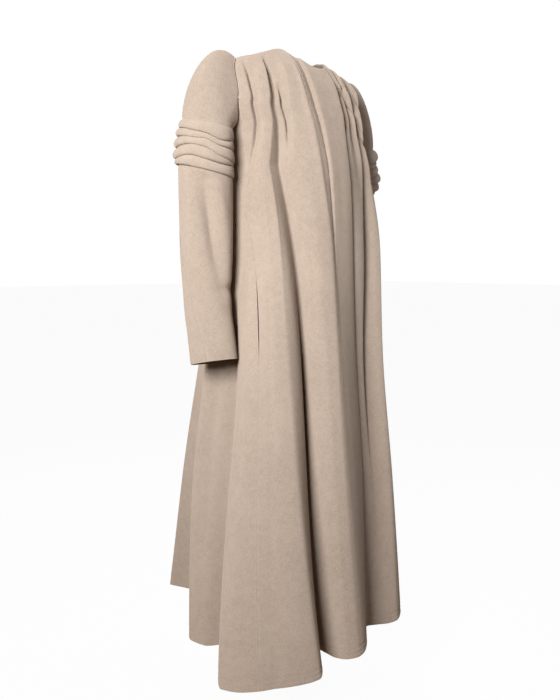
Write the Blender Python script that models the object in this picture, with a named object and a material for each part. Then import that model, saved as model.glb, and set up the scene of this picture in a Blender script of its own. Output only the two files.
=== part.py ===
"""Maxi coat: a hollow trapeze coat of thick wool with tucked sleeve bands, in its worn form.

Metres, +Z up. The origin is the middle of the neck opening at the height of the side
neck. The front faces -Y and the wearer's right is -X. Angles round the body run from the
centre front (0) over the wearer's right side (90) and the centre back (180) to the left
side (270).
"""
import math

import bmesh
import bpy
import numpy as np

# Driving sizes
WALL = 0.0022
SEAM_GAP = 0.0003
NECK_HALF_WIDTH = 0.064
FRONT_NECK_DROP = 0.038
BACK_NECK_DROP = 0.004
SHOULDER_HALF_WIDTH = 0.151
SHOULDER_DROP = 0.030
UNDERARM_LEVEL = -0.168
ARMHOLE_ROUNDNESS = 1.5
ARMHOLE_HALF_DROP = math.sin(math.pi / 4) ** ARMHOLE_ROUNDNESS
ARMHOLE_DEEPEST = -SHOULDER_DROP + (UNDERARM_LEVEL + SHOULDER_DROP) * ARMHOLE_HALF_DROP
ARMHOLE_FRONT_TURN = 18.0
ARMHOLE_BACK_TURN = 27.0
FRONT_TIP_TURN = 70.5
BACK_TIP_TURN = 46.0
LEFT_DROP = 0.015
LEFT_DROP_START = -0.030
LEFT_DROP_END = 0.105
LEFT_DROP_FROM = -0.168
POCKET_TOP = -0.465
POCKET_BOTTOM = -0.650
POCKET_GAPE = 0.004
YOKE_LEVEL = -0.120
CHEST_LEVEL = -0.250
WAIST_LEVEL = -0.420
HIP_LEVEL = -0.650
HEM_LEVEL = -1.250
SEWN_LIFT_SHARE = 0.45
SEWN_FADE = 0.060
NECK_SPREAD = 0.30
FLAT_LIFT_FROM = -0.100
FLAT_LIFT_TO = -0.300

# Places along the top edge: 0 centre front, 1 side neck, 2 shoulder end, 3 underarm,
# 4 shoulder end, 5 side neck, 6 centre back, and on to 12 round the left side
SIDE_NECK = 1.0
SHOULDER_END = 2.0
UNDERARM_RIGHT = 3.0
BACK_SHOULDER_END = 4.0
BACK_SIDE_NECK = 5.0
BACK_PLACE = 6.0
UNDERARM_LEFT = 9.0
WHOLE_ROUND = 12.0
SIDE_TURN = 90.0
BACK_TURN = 180.0
WHOLE_TURN = 360.0

# Plain form of the body: half width, depths before and behind its middle, and the middle
FORM_COLUMNS = ("level", "half_width", "front", "back", "right", "rear")
FORM = (
    (0.0000, 0.064, 0.0300, 0.066, 0.000, 0.000),
    (-0.0044, 0.076, 0.0385, 0.069, 0.000, 0.001),
    (-0.0190, 0.118, 0.0575, 0.077, 0.000, 0.004),
    (-0.0300, 0.151, 0.0710, 0.082, 0.000, 0.008),
    (-0.0600, 0.164, 0.0990, 0.087, 0.000, 0.018),
    (-0.1200, 0.169, 0.1290, 0.090, 0.000, 0.026),
    (-0.1680, 0.151, 0.1430, 0.091, 0.000, 0.028),
    (-0.2500, 0.145, 0.1560, 0.093, 0.000, 0.028),
    (-0.4200, 0.146, 0.1700, 0.112, 0.003, 0.028),
    (-0.6500, 0.160, 0.1860, 0.150, 0.010, 0.027),
    (-0.9500, 0.205, 0.2100, 0.210, 0.018, 0.026),
    (-1.2500, 0.245, 0.2300, 0.270, 0.025, 0.025),
)

# Folds: where each starts on the top edge, its angle at four levels, and how far it
# stands off the plain form at five levels, in millimetres
FOLD_COLUMNS = ("name", "place", "chest", "waist", "hip", "hem",
                "yoke_lift", "chest_lift", "waist_lift", "hip_lift", "hem_lift")
FRONT_RIGHT = (
    ("lap_edge", -0.42, -21.5, -23.5, -25.0, -13.0, 5, 6, 5, 1, 3),
    ("panel", 0.00, -7.0, -8.0, -8.0, -6.0, 4, 4, 6, 12, 34),
    ("panel_fold", 0.36, 4.5, 3.8, 4.5, 1.0, 8, 9, 12, 28, 60),
    ("panel_hollow", 0.45, 7.0, 6.5, 7.0, 3.5, 0, 5, 15, 33, 66),
    ("second_front", 0.75, 14.0, 11.5, 11.0, 6.5, 8, 12, 24, 39, 70),
    ("second_crest", 1.00, 25.0, 21.0, 16.5, 10.5, 7, 16, 28, 39, 66),
    ("second_back", 1.25, 34.0, 28.0, 21.5, 14.5, 9, 12, 18, 26, 45),
    ("short_pleat", 1.36, 40.0, 33.5, 26.0, 16.0, -3, 6, 8, 10, 20),
    ("deep_valley", 1.56, 49.5, 38.5, 29.5, 18.0, -8, -6, -2, 0, 0),
    ("near_front", 1.66, 55.5, 47.0, 39.5, 25.5, 7, 12, 31, 58, 114),
    ("near_crest", 1.78, 60.5, 51.5, 45.0, 36.0, 7, 15, 32, 64, 132),
    ("shoulder_pleat", 1.87, 66.0, 54.5, 48.0, 40.0, -3, 9, 28, 62, 136),
    ("shoulder_end", 2.00, FRONT_TIP_TURN, 57.0, 49.3, 40.9, 0, 6, 26, 62, 138),
    ("arm_front", 2.50, 76.5, 61.5, 51.8, 42.7, 0, 1, 21, 60, 142),
    ("side_seam", 3.00, 90.0, 66.0, 54.0, 44.5, 0, 0, 16, 58, 146),
)
BACK = (
    ("side_seam", 3.00, 90.0, 66.0, 54.0, 44.5, 0, 0, 16, 58, 146),
    ("near_back", 3.12, 94.0, 73.0, 60.0, 50.5, 0, 0, 9, 53, 153),
    ("near_corner", 3.25, 99.0, 79.5, 65.0, 55.5, 0, 0, 2, 40, 148),
    ("arm_hollow", 3.50, 110.0, 94.0, 84.0, 67.0, 0, 0, -4, -10, -17),
    ("side_front", 3.75, 120.0, 107.0, 98.0, 77.0, 0, 0, -4, -4, 8),
    ("side_crest", 4.00, 180.0 - BACK_TIP_TURN, 117.0, 108.0, 86.0, 0, 2, 6, 20, 10),
    ("side_rear", 4.25, 139.0, 126.0, 118.0, 99.0, 4, 4, 6, 14, -24),
    ("hollow", 4.50, 144.0, 134.0, 129.0, 128.0, -4, 0, 0, -4, -70),
    ("rear_front", 4.75, 150.0, 143.0, 140.0, 150.0, 4, 4, 8, 26, -30),
    ("rear_crest", 5.00, 156.0, 152.0, 149.0, 153.0, 3, 5, 16, 46, 32),
    ("rear_inner", 5.45, 166.0, 165.0, 164.0, 167.0, -3, 1, 4, 16, 34),
    ("centre_back", 6.00, 180.0, 180.0, 180.0, 180.0, 4, 2, -2, -10, -22),
    ("left_rear_inner", 6.55, 194.0, 195.0, 196.0, 193.0, -3, 1, 4, 14, 30),
    ("left_rear_crest", 7.00, 204.0, 208.0, 211.0, 207.0, 3, 5, 13, 34, 30),
    ("left_rear_front", 7.25, 210.0, 217.0, 220.0, 211.0, 4, 4, 8, 20, -26),
    ("left_hollow", 7.50, 216.0, 226.0, 230.0, 231.0, -4, 0, 0, -4, -58),
    ("left_side_rear", 7.75, 221.0, 234.0, 241.0, 258.0, 4, 4, 6, 14, -14),
    ("left_side_crest", 8.00, 180.0 + BACK_TIP_TURN, 243.0, 250.0, 270.0, 0, 2, 6, 20, 26),
    ("left_side_front", 8.25, 240.0, 253.0, 262.0, 282.0, 0, 0, -4, -4, 14),
    ("left_arm_hollow", 8.50, 250.0, 266.0, 276.0, 294.0, 0, 0, -4, -10, -12),
    ("left_near_corner", 8.75, 261.0, 280.0, 295.0, 303.0, 0, 0, 2, 14, 24),
    ("left_side_seam", 9.00, 270.0, 292.0, 303.0, 311.0, 0, 0, 12, 34, 40),
)
FRONT_LEFT = (
    ("left_side_seam", 9.00, 270.0, 292.0, 303.0, 311.0, 0, 0, 12, 34, 40),
    ("left_arm_front", 9.50, 283.5, 296.0, 304.5, 313.5, 0, 2, 28, 42, 43),
    ("left_shoulder_end", 10.00, 360.0 - FRONT_TIP_TURN, 300.0, 306.0, 316.0, 0, 18, 48, 50, 47),
    ("left_shoulder_pleat", 10.14, 297.0, 304.0, 309.5, 319.0, 10, 36, 60, 56, 50),
    ("left_short_pleat", 10.32, 303.0, 308.5, 314.0, 323.0, 6, 46, 62, 56, 50),
    ("left_crest", 10.52, 307.0, 311.0, 316.5, 327.0, 20, 44, 52, 46, 48),
    ("left_pleat", 10.74, 310.0, 313.5, 318.5, 332.0, 6, 36, 36, 28, 34),
    ("left_ridge", 11.00, 313.0, 316.0, 321.0, 336.0, 12, 30, 26, 18, 12),
    ("left_valley", 11.18, 320.0, 322.0, 327.0, 340.0, 2, 14, 20, 10, -4),
    ("left_panel", 11.36, 328.0, 330.0, 333.5, 343.5, 6, 7, 10, 0, -6),
    ("left_under_lap", 11.58, 340.0, 338.0, 336.5, 347.0, -1, -1, -2, -6, -4),
    ("left_edge", 11.76, 348.0, 346.0, 343.0, 351.0, -2, -2, -2, -2, 5),
)

# Columns and rows of the body's walls
BODY_ROWS = 22
ROW_CROWDING = 1.35
COLUMNS_PER_FOLD = 2
ARMHOLE_COLUMNS = 4
ARMHOLE_STEP = 0.5
TRACE_STEPS = 240
RATE_STEP = 0.0005
PLACE_SLACK = 1e-6
LEAST_MITRE = 0.7
RIM_ANGLE = 50.0

# Sleeve: rings from the top of the tucked band to the cuff, for the wearer's right arm
RING_COLUMNS = ("level", "out", "rear", "half_width", "half_depth", "slope_out", "slope_rear")
RINGS = (
    (-0.168, 0.208, 0.030, 0.0500, 0.0565, 0.15, 0.126),
    (-0.263, 0.214, 0.030, 0.0560, 0.0575, 0.18, 0.150),
    (-0.330, 0.214, 0.030, 0.0555, 0.0575, 0.11, 0.090),
    (-0.430, 0.214, 0.030, 0.0540, 0.0565, 0.02, 0.000),
    (-0.530, 0.214, 0.028, 0.0495, 0.0510, 0.00, -0.050),
    (-0.600, 0.215, 0.014, 0.0490, 0.0500, 0.00, -0.150),
    (-0.656, 0.219, -0.002, 0.0490, 0.0505, 0.00, -0.200),
)
BAND_TOP = -0.168
BAND_BOTTOM = -0.263
CUFF_LEVEL = -0.656
# Tucks of the band: how far down its height each one ends at four turns, and how far it stands out
TUCK_COLUMNS = ("front", "outer", "back", "inner", "height")
TUCKS = (
    (0.21, 0.23, 0.17, 0.16, 0.0080),
    (0.41, 0.39, 0.37, 0.40, 0.0085),
    (0.61, 0.57, 0.62, 0.64, 0.0100),
    (0.79, 0.81, 0.85, 0.82, 0.0100),
    (1.00, 1.00, 1.00, 1.00, 0.0080),
)
TUCK_ROUNDNESS = 0.7
TUCK_INNER_SHARE = 0.25
TUCK_INNER_REACH = 0.625
TUCK_ROWS = 4
CAP_ROWS = 6
CAP_RISE = 0.66
CAP_SINK = 0.45
CAP_SPREAD = 0.10
CAP_OUT_LOW = 0.25
CAP_FULLNESS = 1.50
CAP_FALL = 1.20
SLEEVE_ROWS = 11
OUTER_COLUMNS = 10
UNDER_COLUMNS = 9
# The rear sleeve seam turns from the back of the arm towards the thumb; the other is inside
SEAM_COLUMNS = ("level", "rear_seam", "inner_seam")
SLEEVE_SEAMS = (
    (-0.263, 150.0, 318.0),
    (-0.430, 108.0, 318.0),
    (-0.500, 84.0, 318.0),
    (-0.620, 60.0, 318.0),
    (-0.656, 55.0, 318.0),
)

# Finish
WOOL_COLOUR = (0.46, 0.355, 0.265, 1.0)
WOOL_ROUGHNESS = 0.95


def table(columns, rows):
    """The named columns of a table as arrays."""
    return {name: np.array([row[k] for row in rows]) for k, name in enumerate(columns)}


def smooth_through(x, knots, values):
    """A smooth curve through the knots that never overshoots them."""
    knots = np.asarray(knots, float)
    values = np.asarray(values, float)
    span = np.diff(knots)
    rate = np.diff(values) / span
    slope = np.empty(len(knots))
    slope[0] = rate[0]
    slope[-1] = rate[-1]
    before, after = rate[:-1], rate[1:]
    near, far = 2 * span[1:] + span[:-1], span[1:] + 2 * span[:-1]
    steady = before * after > 0
    safe_before = np.where(steady, before, 1.0)
    safe_after = np.where(steady, after, 1.0)
    slope[1:-1] = np.where(steady, (near + far) / (near / safe_before + far / safe_after), 0.0)
    x = np.clip(x, knots[0], knots[-1])
    cell = np.clip(np.searchsorted(knots, x, side="right") - 1, 0, len(span) - 1)
    s = (x - knots[cell]) / span[cell]
    rise = values[cell + 1] - values[cell]
    start, end = slope[cell] * span[cell], slope[cell + 1] * span[cell]
    return values[cell] + s * (start + s * (3 * rise - 2 * start - end + s * (start + end - 2 * rise)))


def by_level(columns, rows, name, level):
    """One column of a table whose rows go down, at any level."""
    data = table(columns, rows)
    return smooth_through(-np.asarray(level, float), -data["level"], data[name])


def ease(x):
    """0 to 1 with a soft start and end."""
    x = np.clip(x, 0.0, 1.0)
    return x * x * (3 - 2 * x)


def form(name, level):
    """A size of the body's plain form at any level."""
    return by_level(FORM_COLUMNS, FORM, name, level)


def half_edge(place):
    """Distance from the middle and level of the top edge on the right half: neck, shoulder, armhole."""
    back = place > UNDERARM_RIGHT
    if place <= SIDE_NECK or place >= BACK_SIDE_NECK:
        turn = math.radians(SIDE_TURN * (BACK_PLACE - place if back else place))
        drop = BACK_NECK_DROP if back else FRONT_NECK_DROP
        return NECK_HALF_WIDTH * math.sin(turn), -drop * math.cos(turn) ** 2
    if place <= SHOULDER_END or place >= BACK_SHOULDER_END:
        level = -SHOULDER_DROP * (BACK_SIDE_NECK - place if back else place - SIDE_NECK)
        return float(form("half_width", level)), level
    share = BACK_SHOULDER_END - place if back else place - SHOULDER_END
    dropped = math.sin(0.5 * math.pi * share) ** ARMHOLE_ROUNDNESS
    level = -SHOULDER_DROP + (UNDERARM_LEVEL + SHOULDER_DROP) * dropped
    turn = (ARMHOLE_BACK_TURN if back else ARMHOLE_FRONT_TURN) * math.sin(math.pi * share)
    return float(form("half_width", level)) * math.cos(math.radians(turn)), level


def top_edge(place):
    """Signed distance to the right, level, and whether the place is on an armhole."""
    if place < 0.0:
        across, level = half_edge(-place)
        return -across, level, False
    mirrored = place > BACK_PLACE
    local = WHOLE_ROUND - place if mirrored else place
    across, level = half_edge(local)
    return (-across if mirrored else across), level, abs(local - UNDERARM_RIGHT) < 1.0 + PLACE_SLACK


def straight_turn(level, level_top, across_top, chest_turn):
    """Turn of a line that hangs straight from the top edge, then runs evenly to its chest turn."""
    high = np.maximum(level, ARMHOLE_DEEPEST)
    share = (level_top - high) / (level_top - CHEST_LEVEL)
    across_chest = float(form("half_width", CHEST_LEVEL)) * math.sin(math.radians(chest_turn))
    across = across_top + (across_chest - across_top) * share
    turn = np.degrees(np.arcsin(np.clip(across / form("half_width", high), -1.0, 1.0)))
    down = np.clip((ARMHOLE_DEEPEST - level) / (ARMHOLE_DEEPEST - CHEST_LEVEL), 0.0, 1.0)
    return turn + (chest_turn - turn) * down


def armhole_turn(level, level_top, chest_turn, is_back):
    """Turn of a line from the armhole: beside its edge down to its deepest point, then to the chest."""
    deep = ARMHOLE_BACK_TURN if is_back else ARMHOLE_FRONT_TURN
    tip_turn = BACK_TIP_TURN if is_back else FRONT_TIP_TURN
    knee = min(level_top, ARMHOLE_DEEPEST)
    high = np.maximum(level, knee)
    dropped = np.clip((high + SHOULDER_DROP) / (UNDERARM_LEVEL + SHOULDER_DROP), 0.0, 1.0)
    edge = SIDE_TURN - deep * np.sin(2.0 * np.arcsin(dropped ** (1.0 / ARMHOLE_ROUNDNESS)))
    tip = straight_turn(high, -SHOULDER_DROP, SHOULDER_HALF_WIDTH, tip_turn)
    run = np.clip((level_top - high) / (level_top - CHEST_LEVEL), 0.0, 1.0)
    whole = np.clip((-SHOULDER_DROP - high) / (-SHOULDER_DROP - CHEST_LEVEL), PLACE_SLACK, 1.0)
    chest_share = (SIDE_TURN - chest_turn) / (SIDE_TURN - tip_turn)
    beside = edge - (edge - tip) * chest_share * run / whole
    down = np.clip((knee - level) / (knee - CHEST_LEVEL), 0.0, 1.0)
    return beside + (chest_turn - beside) * down


def fold_values(rows, at):
    """Every number of a fold table at fractional row positions."""
    data = table(FOLD_COLUMNS, rows)
    index = np.arange(len(rows))
    return {name: smooth_through(at, index, data[name]) for name in FOLD_COLUMNS[1:]}


def column_line(place, angles):
    """One line of the plain form from the top edge to the hem: its points and outward directions."""
    across_top, level_top, beside = top_edge(place)
    is_back = UNDERARM_RIGHT < place < UNDERARM_LEFT
    middle = BACK_TURN if is_back else (WHOLE_TURN if place >= UNDERARM_LEFT else 0.0)
    facing = -1.0 if is_back else 1.0
    level = level_top + (HEM_LEVEL - level_top) * np.linspace(0.0, 1.0, TRACE_STEPS) ** 2
    half_width = form("half_width", level)
    chest_local = facing * (angles[0] - middle)
    if beside:
        side = math.copysign(1.0, chest_local)
        local = side * armhole_turn(level, level_top, abs(chest_local), is_back)
    else:
        local = straight_turn(level, level_top, across_top, chest_local)
    upper = middle + facing * local
    levels = (CHEST_LEVEL, WAIST_LEVEL, HIP_LEVEL, HEM_LEVEL)
    lower = smooth_through(-level, [-z for z in levels], angles)
    turn = np.radians(np.where(level > CHEST_LEVEL, upper, lower))
    depth = np.where(np.cos(turn) >= 0.0, form("front", level), form("back", level))
    points = np.stack([-form("right", level) - half_width * np.sin(turn),
                       form("rear", level) - depth * np.cos(turn),
                       level], axis=-1)
    width_rate = form_rate("half_width", level)
    depth_rate = np.where(np.cos(turn) >= 0.0, form_rate("front", level), form_rate("back", level))
    tilt = -(np.sin(turn) ** 2 * width_rate / half_width + np.cos(turn) ** 2 * depth_rate / depth)
    tilt = tilt * (1.0 - ease((FLAT_LIFT_FROM - level) / (FLAT_LIFT_FROM - FLAT_LIFT_TO)))
    away = np.stack([-np.sin(turn) / half_width, -np.cos(turn) / depth, tilt], axis=-1)
    return points, away / np.linalg.norm(away, axis=-1, keepdims=True)


def form_rate(name, level):
    """How fast a size of the plain form changes with height."""
    return (form(name, level + RATE_STEP) - form(name, level - RATE_STEP)) / (2 * RATE_STEP)


def spaced(line, shares, *others):
    """A line, and what goes with its points, at shares of its length."""
    step = np.linalg.norm(np.diff(line, axis=0), axis=1)
    run = np.concatenate([[0.0], np.cumsum(step)])
    picked = []
    for values in (line,) + others:
        picked.append(np.stack([np.interp(shares * run[-1], run, values[:, k]) for k in range(3)], axis=-1))
    return picked


def mean_step(points, axis, closed):
    """The mean of the directions before and after each point: shorter where the line turns more."""
    step = np.diff(points, axis=axis)
    if closed:
        step = np.concatenate([step, points[:1] - points[-1:]])
    step = step / np.linalg.norm(step, axis=-1, keepdims=True)
    if closed:
        return 0.5 * (step + np.roll(step, 1, axis=axis))
    ends = np.take(step, [0, -1], axis=axis)
    before = np.concatenate([np.take(ends, [0], axis=axis), step], axis=axis)
    after = np.concatenate([step, np.take(ends, [1], axis=axis)], axis=axis)
    return 0.5 * (before + after)


def grid_normals(points, closed=False):
    """Normals of a grid of points, columns by rows, longer where a fold is sharp so its wall keeps."""
    across = mean_step(points, 0, closed)
    normal = np.cross(mean_step(points, 1, False), across)
    normal = normal / np.linalg.norm(normal, axis=-1, keepdims=True)
    return normal / np.maximum(np.linalg.norm(across, axis=-1, keepdims=True), LEAST_MITRE)


def body_sheet(rows, at, row_shares):
    """The outer face of a body panel, columns by rows, and the way out at each point."""
    value = fold_values(rows, at)
    plain = []
    away = []
    for k, place in enumerate(value["place"]):
        angles = [value[name][k] for name in ("chest", "waist", "hip", "hem")]
        line, out = column_line(place, angles)
        line, out = spaced(line, row_shares, out)
        plain.append(line)
        away.append(out)
    plain = np.array(plain)
    away = np.array(away)
    away /= np.linalg.norm(away, axis=-1, keepdims=True)
    level = plain[:, :, 2]
    knots = [0.0, -YOKE_LEVEL, -CHEST_LEVEL, -WAIST_LEVEL, -HIP_LEVEL, -HEM_LEVEL]
    lift = np.empty(level.shape)
    for k, place in enumerate(value["place"]):
        stated = [value[name + "_lift"][k] for name in ("yoke", "chest", "waist", "hip", "hem")]
        local = abs(WHOLE_ROUND - place if place > BACK_PLACE else place)
        free = SEWN_LIFT_SHARE * ease(max(SIDE_NECK - local, local - BACK_SIDE_NECK) / NECK_SPREAD)
        fade = free + (1.0 - free) * ease((level[k, 0] - level[k]) / SEWN_FADE)
        lift[k] = smooth_through(-level[k], knots, [stated[0]] + stated) * fade / 1000.0
    points = plain + away * lift[:, :, None]
    outward = ease((points[..., 0] - LEFT_DROP_START) / (LEFT_DROP_END - LEFT_DROP_START))
    upward = 1.0 - ease((level - LEFT_DROP_FROM) / (HIP_LEVEL - LEFT_DROP_FROM))
    points[..., 2] -= LEFT_DROP * outward * upward
    return points, away


def fold_columns(rows):
    """Fractional row positions of a panel's columns: more of them along the armholes."""
    places = table(FOLD_COLUMNS, rows)["place"]
    at = []
    for k in range(len(rows) - 1):
        wide = places[k + 1] - places[k] == ARMHOLE_STEP
        count = ARMHOLE_COLUMNS if wide else COLUMNS_PER_FOLD
        at.extend(k + np.arange(count) / count)
    return np.array(at + [len(rows) - 1.0])


def open_seams(points, first, last):
    """Draw the top edge, and the sewn side edges, back by half a seam gap and half a pocket's mouth."""
    points = points.copy()
    for edge, inner, gape in ((0, 1, first), (-1, -2, last)):
        if gape is not None:
            step = points[inner] - points[edge]
            down = np.clip((points[edge, :, 2:] - POCKET_TOP) / (POCKET_BOTTOM - POCKET_TOP), 0.0, 1.0)
            drawn = 0.5 * SEAM_GAP + 0.5 * gape * np.sin(np.pi * down)
            points[edge] += step / np.linalg.norm(step, axis=-1, keepdims=True) * drawn
    step = points[:, 1] - points[:, 0]
    points[:, 0] += step / np.linalg.norm(step, axis=-1, keepdims=True) * 0.5 * SEAM_GAP
    return points


def wall_normals(points, away, first, last):
    """Which way the wall's thickness runs: shared at the seams, so that walls meet squarely."""
    normal = grid_normals(points)
    normal *= math.copysign(1.0, np.sum(normal * away))
    normal[:, 0] = away[:, 0]
    if first is not None:
        normal[0] = away[0]
    if last is not None:
        normal[-1] = away[-1]
    return normal


def wool():
    """Thick napped wool."""
    material = bpy.data.materials.new("wool")
    material.use_nodes = True
    shader = material.node_tree.nodes["Principled BSDF"]
    shader.inputs["Base Color"].default_value = WOOL_COLOUR
    shader.inputs["Roughness"].default_value = WOOL_ROUGHNESS
    shader.inputs["Metallic"].default_value = 0.0
    return material


def grid_faces(points, closed):
    """Triangles over a grid of points, each cell cut along its shorter diagonal."""
    columns, rows = points.shape[:2]
    faces = []
    for c in range(columns if closed else columns - 1):
        d = (c + 1) % columns
        for r in range(rows - 1):
            here, below = c * rows + r, c * rows + r + 1
            across, far = d * rows + r, d * rows + r + 1
            falling = np.linalg.norm(points[c, r] - points[d, r + 1])
            rising = np.linalg.norm(points[c, r + 1] - points[d, r])
            if falling <= rising:
                faces += [(here, below, far), (here, far, across)]
            else:
                faces += [(here, below, across), (below, far, across)]
    return faces


def rim_loops(columns, rows, closed):
    """The edges of a grid as loops of point numbers."""
    top = [c * rows for c in range(columns)]
    bottom = [c * rows + rows - 1 for c in range(columns)]
    if closed:
        return [top, bottom[::-1]]
    first = list(range(1, rows - 1))
    last = [(columns - 1) * rows + r for r in range(1, rows - 1)]
    return [top + last + bottom[::-1] + first[::-1]]


def cloth_object(name, points, normal, closed, kit):
    """A cloth piece: its outer face, its inner face a wall's thickness in, and the rims between."""
    columns, rows = points.shape[:2]
    count = columns * rows
    outer = grid_faces(points, closed)
    faces = outer + [tuple(count + k for k in face[::-1]) for face in outer]
    for loop in rim_loops(columns, rows, closed):
        for k, here in enumerate(loop):
            there = loop[(k + 1) % len(loop)]
            faces.append((here, there, there + count, here + count))
    corners = np.concatenate([points.reshape(-1, 3), (points - WALL * normal).reshape(-1, 3)])
    mesh = bpy.data.meshes.new(name)
    mesh.from_pydata(corners.tolist(), [], faces)
    body = bmesh.new()
    body.from_mesh(mesh)
    bmesh.ops.recalc_face_normals(body, faces=body.faces)
    body.to_mesh(mesh)
    body.free()
    mesh.shade_smooth()
    mesh.set_sharp_from_angle(angle=math.radians(RIM_ANGLE))
    mesh.materials.append(kit["wool"])
    piece = bpy.data.objects.new(name, mesh)
    kit["collection"].objects.link(piece)
    piece.parent = kit["root"]
    return piece


def ring(level, turn, grow=0.0):
    """Points round the right sleeve: turn 0 faces front, 90 out, 180 back."""
    value = {name: by_level(RING_COLUMNS, RINGS, name, level) for name in RING_COLUMNS[1:]}
    angle = np.radians(turn)
    out = (value["half_width"] + grow) * np.sin(angle)
    rear = -(value["half_depth"] + grow) * np.cos(angle)
    height = level + value["slope_out"] * out + value["slope_rear"] * rear
    across = -(value["out"] + out)
    return np.stack(np.broadcast_arrays(across, value["rear"] + rear, height), axis=-1)


def tuck_depth(share, turn):
    """How far the tucked band stands out, by share of its height and turn round the arm."""
    data = table(TUCK_COLUMNS, TUCKS)
    front, outer, back, inner = (data[name][None, :] for name in TUCK_COLUMNS[:4])
    angle = np.radians(turn)[:, None]
    ends = 0.25 * (front + outer + back + inner) + 0.5 * (front - back) * np.cos(angle)
    ends = ends + 0.5 * (outer - inner) * np.sin(angle)
    ends = ends + 0.25 * (front - outer + back - inner) * np.cos(2 * angle)
    tops = np.concatenate([np.zeros((len(turn), 1)), ends[:, :-1]], axis=1)
    from_body = 0.5 + 0.5 * np.sin(np.radians(turn))
    side = TUCK_INNER_SHARE + (1.0 - TUCK_INNER_SHARE) * ease(from_body / TUCK_INNER_REACH)
    depth = np.zeros((len(turn), len(share)))
    for k in range(len(TUCKS)):
        inside = (share[None, :] - tops[:, k, None]) / (ends[:, k, None] - tops[:, k, None])
        swell = np.where((inside > 0) & (inside < 1), np.sin(np.pi * np.clip(inside, 0, 1)), 0.0)
        depth += data["height"][k] * swell ** TUCK_ROUNDNESS
    return depth * side[:, None]


def sleeve_sheets(loop, turn, out_sign):
    """Cap, band, outer and under sleeve of one arm, from its armhole loop."""
    flip = np.array([out_sign, 1.0, 1.0])
    lower = np.array([0.0, 0.0, LEFT_DROP if out_sign < 0 else 0.0])
    loop = loop * flip + lower
    share = np.linspace(0.0, 1.0, CAP_ROWS + 1)[None, :, None]
    end = ring(BAND_TOP, turn)
    reach = np.linalg.norm(end - loop, axis=1, keepdims=True)
    up = np.clip(np.sin(np.radians(turn)), 0.0, 1.0)[:, None]
    front = np.cos(np.radians(turn))[:, None]
    way = np.concatenate([-(CAP_OUT_LOW + (1 - CAP_OUT_LOW) * up), -CAP_SPREAD * front,
                          CAP_RISE * up - CAP_SINK * (1 - up)], axis=1)
    way /= np.linalg.norm(way, axis=1, keepdims=True)
    leave = (way * reach * CAP_FULLNESS)[:, None, :]
    arrive = (np.array([[0.0, 0.0, -1.0]]) * reach * CAP_FALL)[:, None, :]
    begin = (loop + way * SEAM_GAP)[:, None, :]
    end = (end + np.array([0.0, 0.0, SEAM_GAP]))[:, None, :]
    s2, s3 = share ** 2, share ** 3
    cap = (begin * (2 * s3 - 3 * s2 + 1) + leave * (s3 - 2 * s2 + share)
           + end * (3 * s2 - 2 * s3) + arrive * (s3 - s2))
    down = np.linspace(0.0, 1.0, TUCK_ROWS * len(TUCKS) + 1)
    level = BAND_TOP + (BAND_BOTTOM - BAND_TOP) * down
    grow = tuck_depth(down, turn)
    band = np.stack([ring(level[k], turn, grow[:, k]) for k in range(len(level))], axis=1)
    panels = []
    level = np.linspace(BAND_BOTTOM - SEAM_GAP, CUFF_LEVEL, SLEEVE_ROWS + 1)
    rear = by_level(SEAM_COLUMNS, SLEEVE_SEAMS, "rear_seam", level)
    inner = by_level(SEAM_COLUMNS, SLEEVE_SEAMS, "inner_seam", level)
    half_gap = np.degrees(0.5 * SEAM_GAP / by_level(RING_COLUMNS, RINGS, "half_width", level))
    for columns, first, last in ((OUTER_COLUMNS, inner - WHOLE_TURN, rear), (UNDER_COLUMNS, rear, inner)):
        across = np.linspace(0.0, 1.0, columns + 1)
        rows = []
        for k, height in enumerate(level):
            turns = first[k] + half_gap[k] + (last[k] - first[k] - 2 * half_gap[k]) * across
            rows.append(ring(height, turns))
        panels.append(np.stack(rows, axis=1))
    return [(points - lower) * flip for points in (cap, band, *panels)]


def armhole(panels, places, mirrored):
    """An armhole's edge points and their turns round the sleeve, from the body's own columns."""
    points = np.concatenate([panel[:, 0] for panel in panels])
    place = np.concatenate(places)
    local = WHOLE_ROUND - place if mirrored else place
    order = np.argsort(local, kind="stable")
    loop = []
    turn = []
    for k in order:
        if local[k] < SHOULDER_END - PLACE_SLACK or local[k] > BACK_SHOULDER_END - PLACE_SLACK:
            continue
        here = SIDE_TURN - BACK_TURN * (local[k] - SHOULDER_END)
        if turn and abs(here - turn[-1]) < PLACE_SLACK:
            continue
        loop.append(points[k])
        turn.append(here)
    return np.array(loop), np.array(turn)


def sleeve_normals(points, level_wall):
    """Normals away from the middle of the arm, level ones where the wall is measured level."""
    value = {name: by_level(RING_COLUMNS, RINGS, name, points[..., 2]) for name in ("out", "rear")}
    away = np.zeros(points.shape)
    away[..., 0] = points[..., 0] - np.copysign(value["out"], points[..., 0])
    away[..., 1] = points[..., 1] - value["rear"]
    if level_wall:
        return away / np.linalg.norm(away, axis=-1, keepdims=True)
    normal = grid_normals(points, True)
    return normal if np.sum(normal * away) > 0 else -normal


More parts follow.
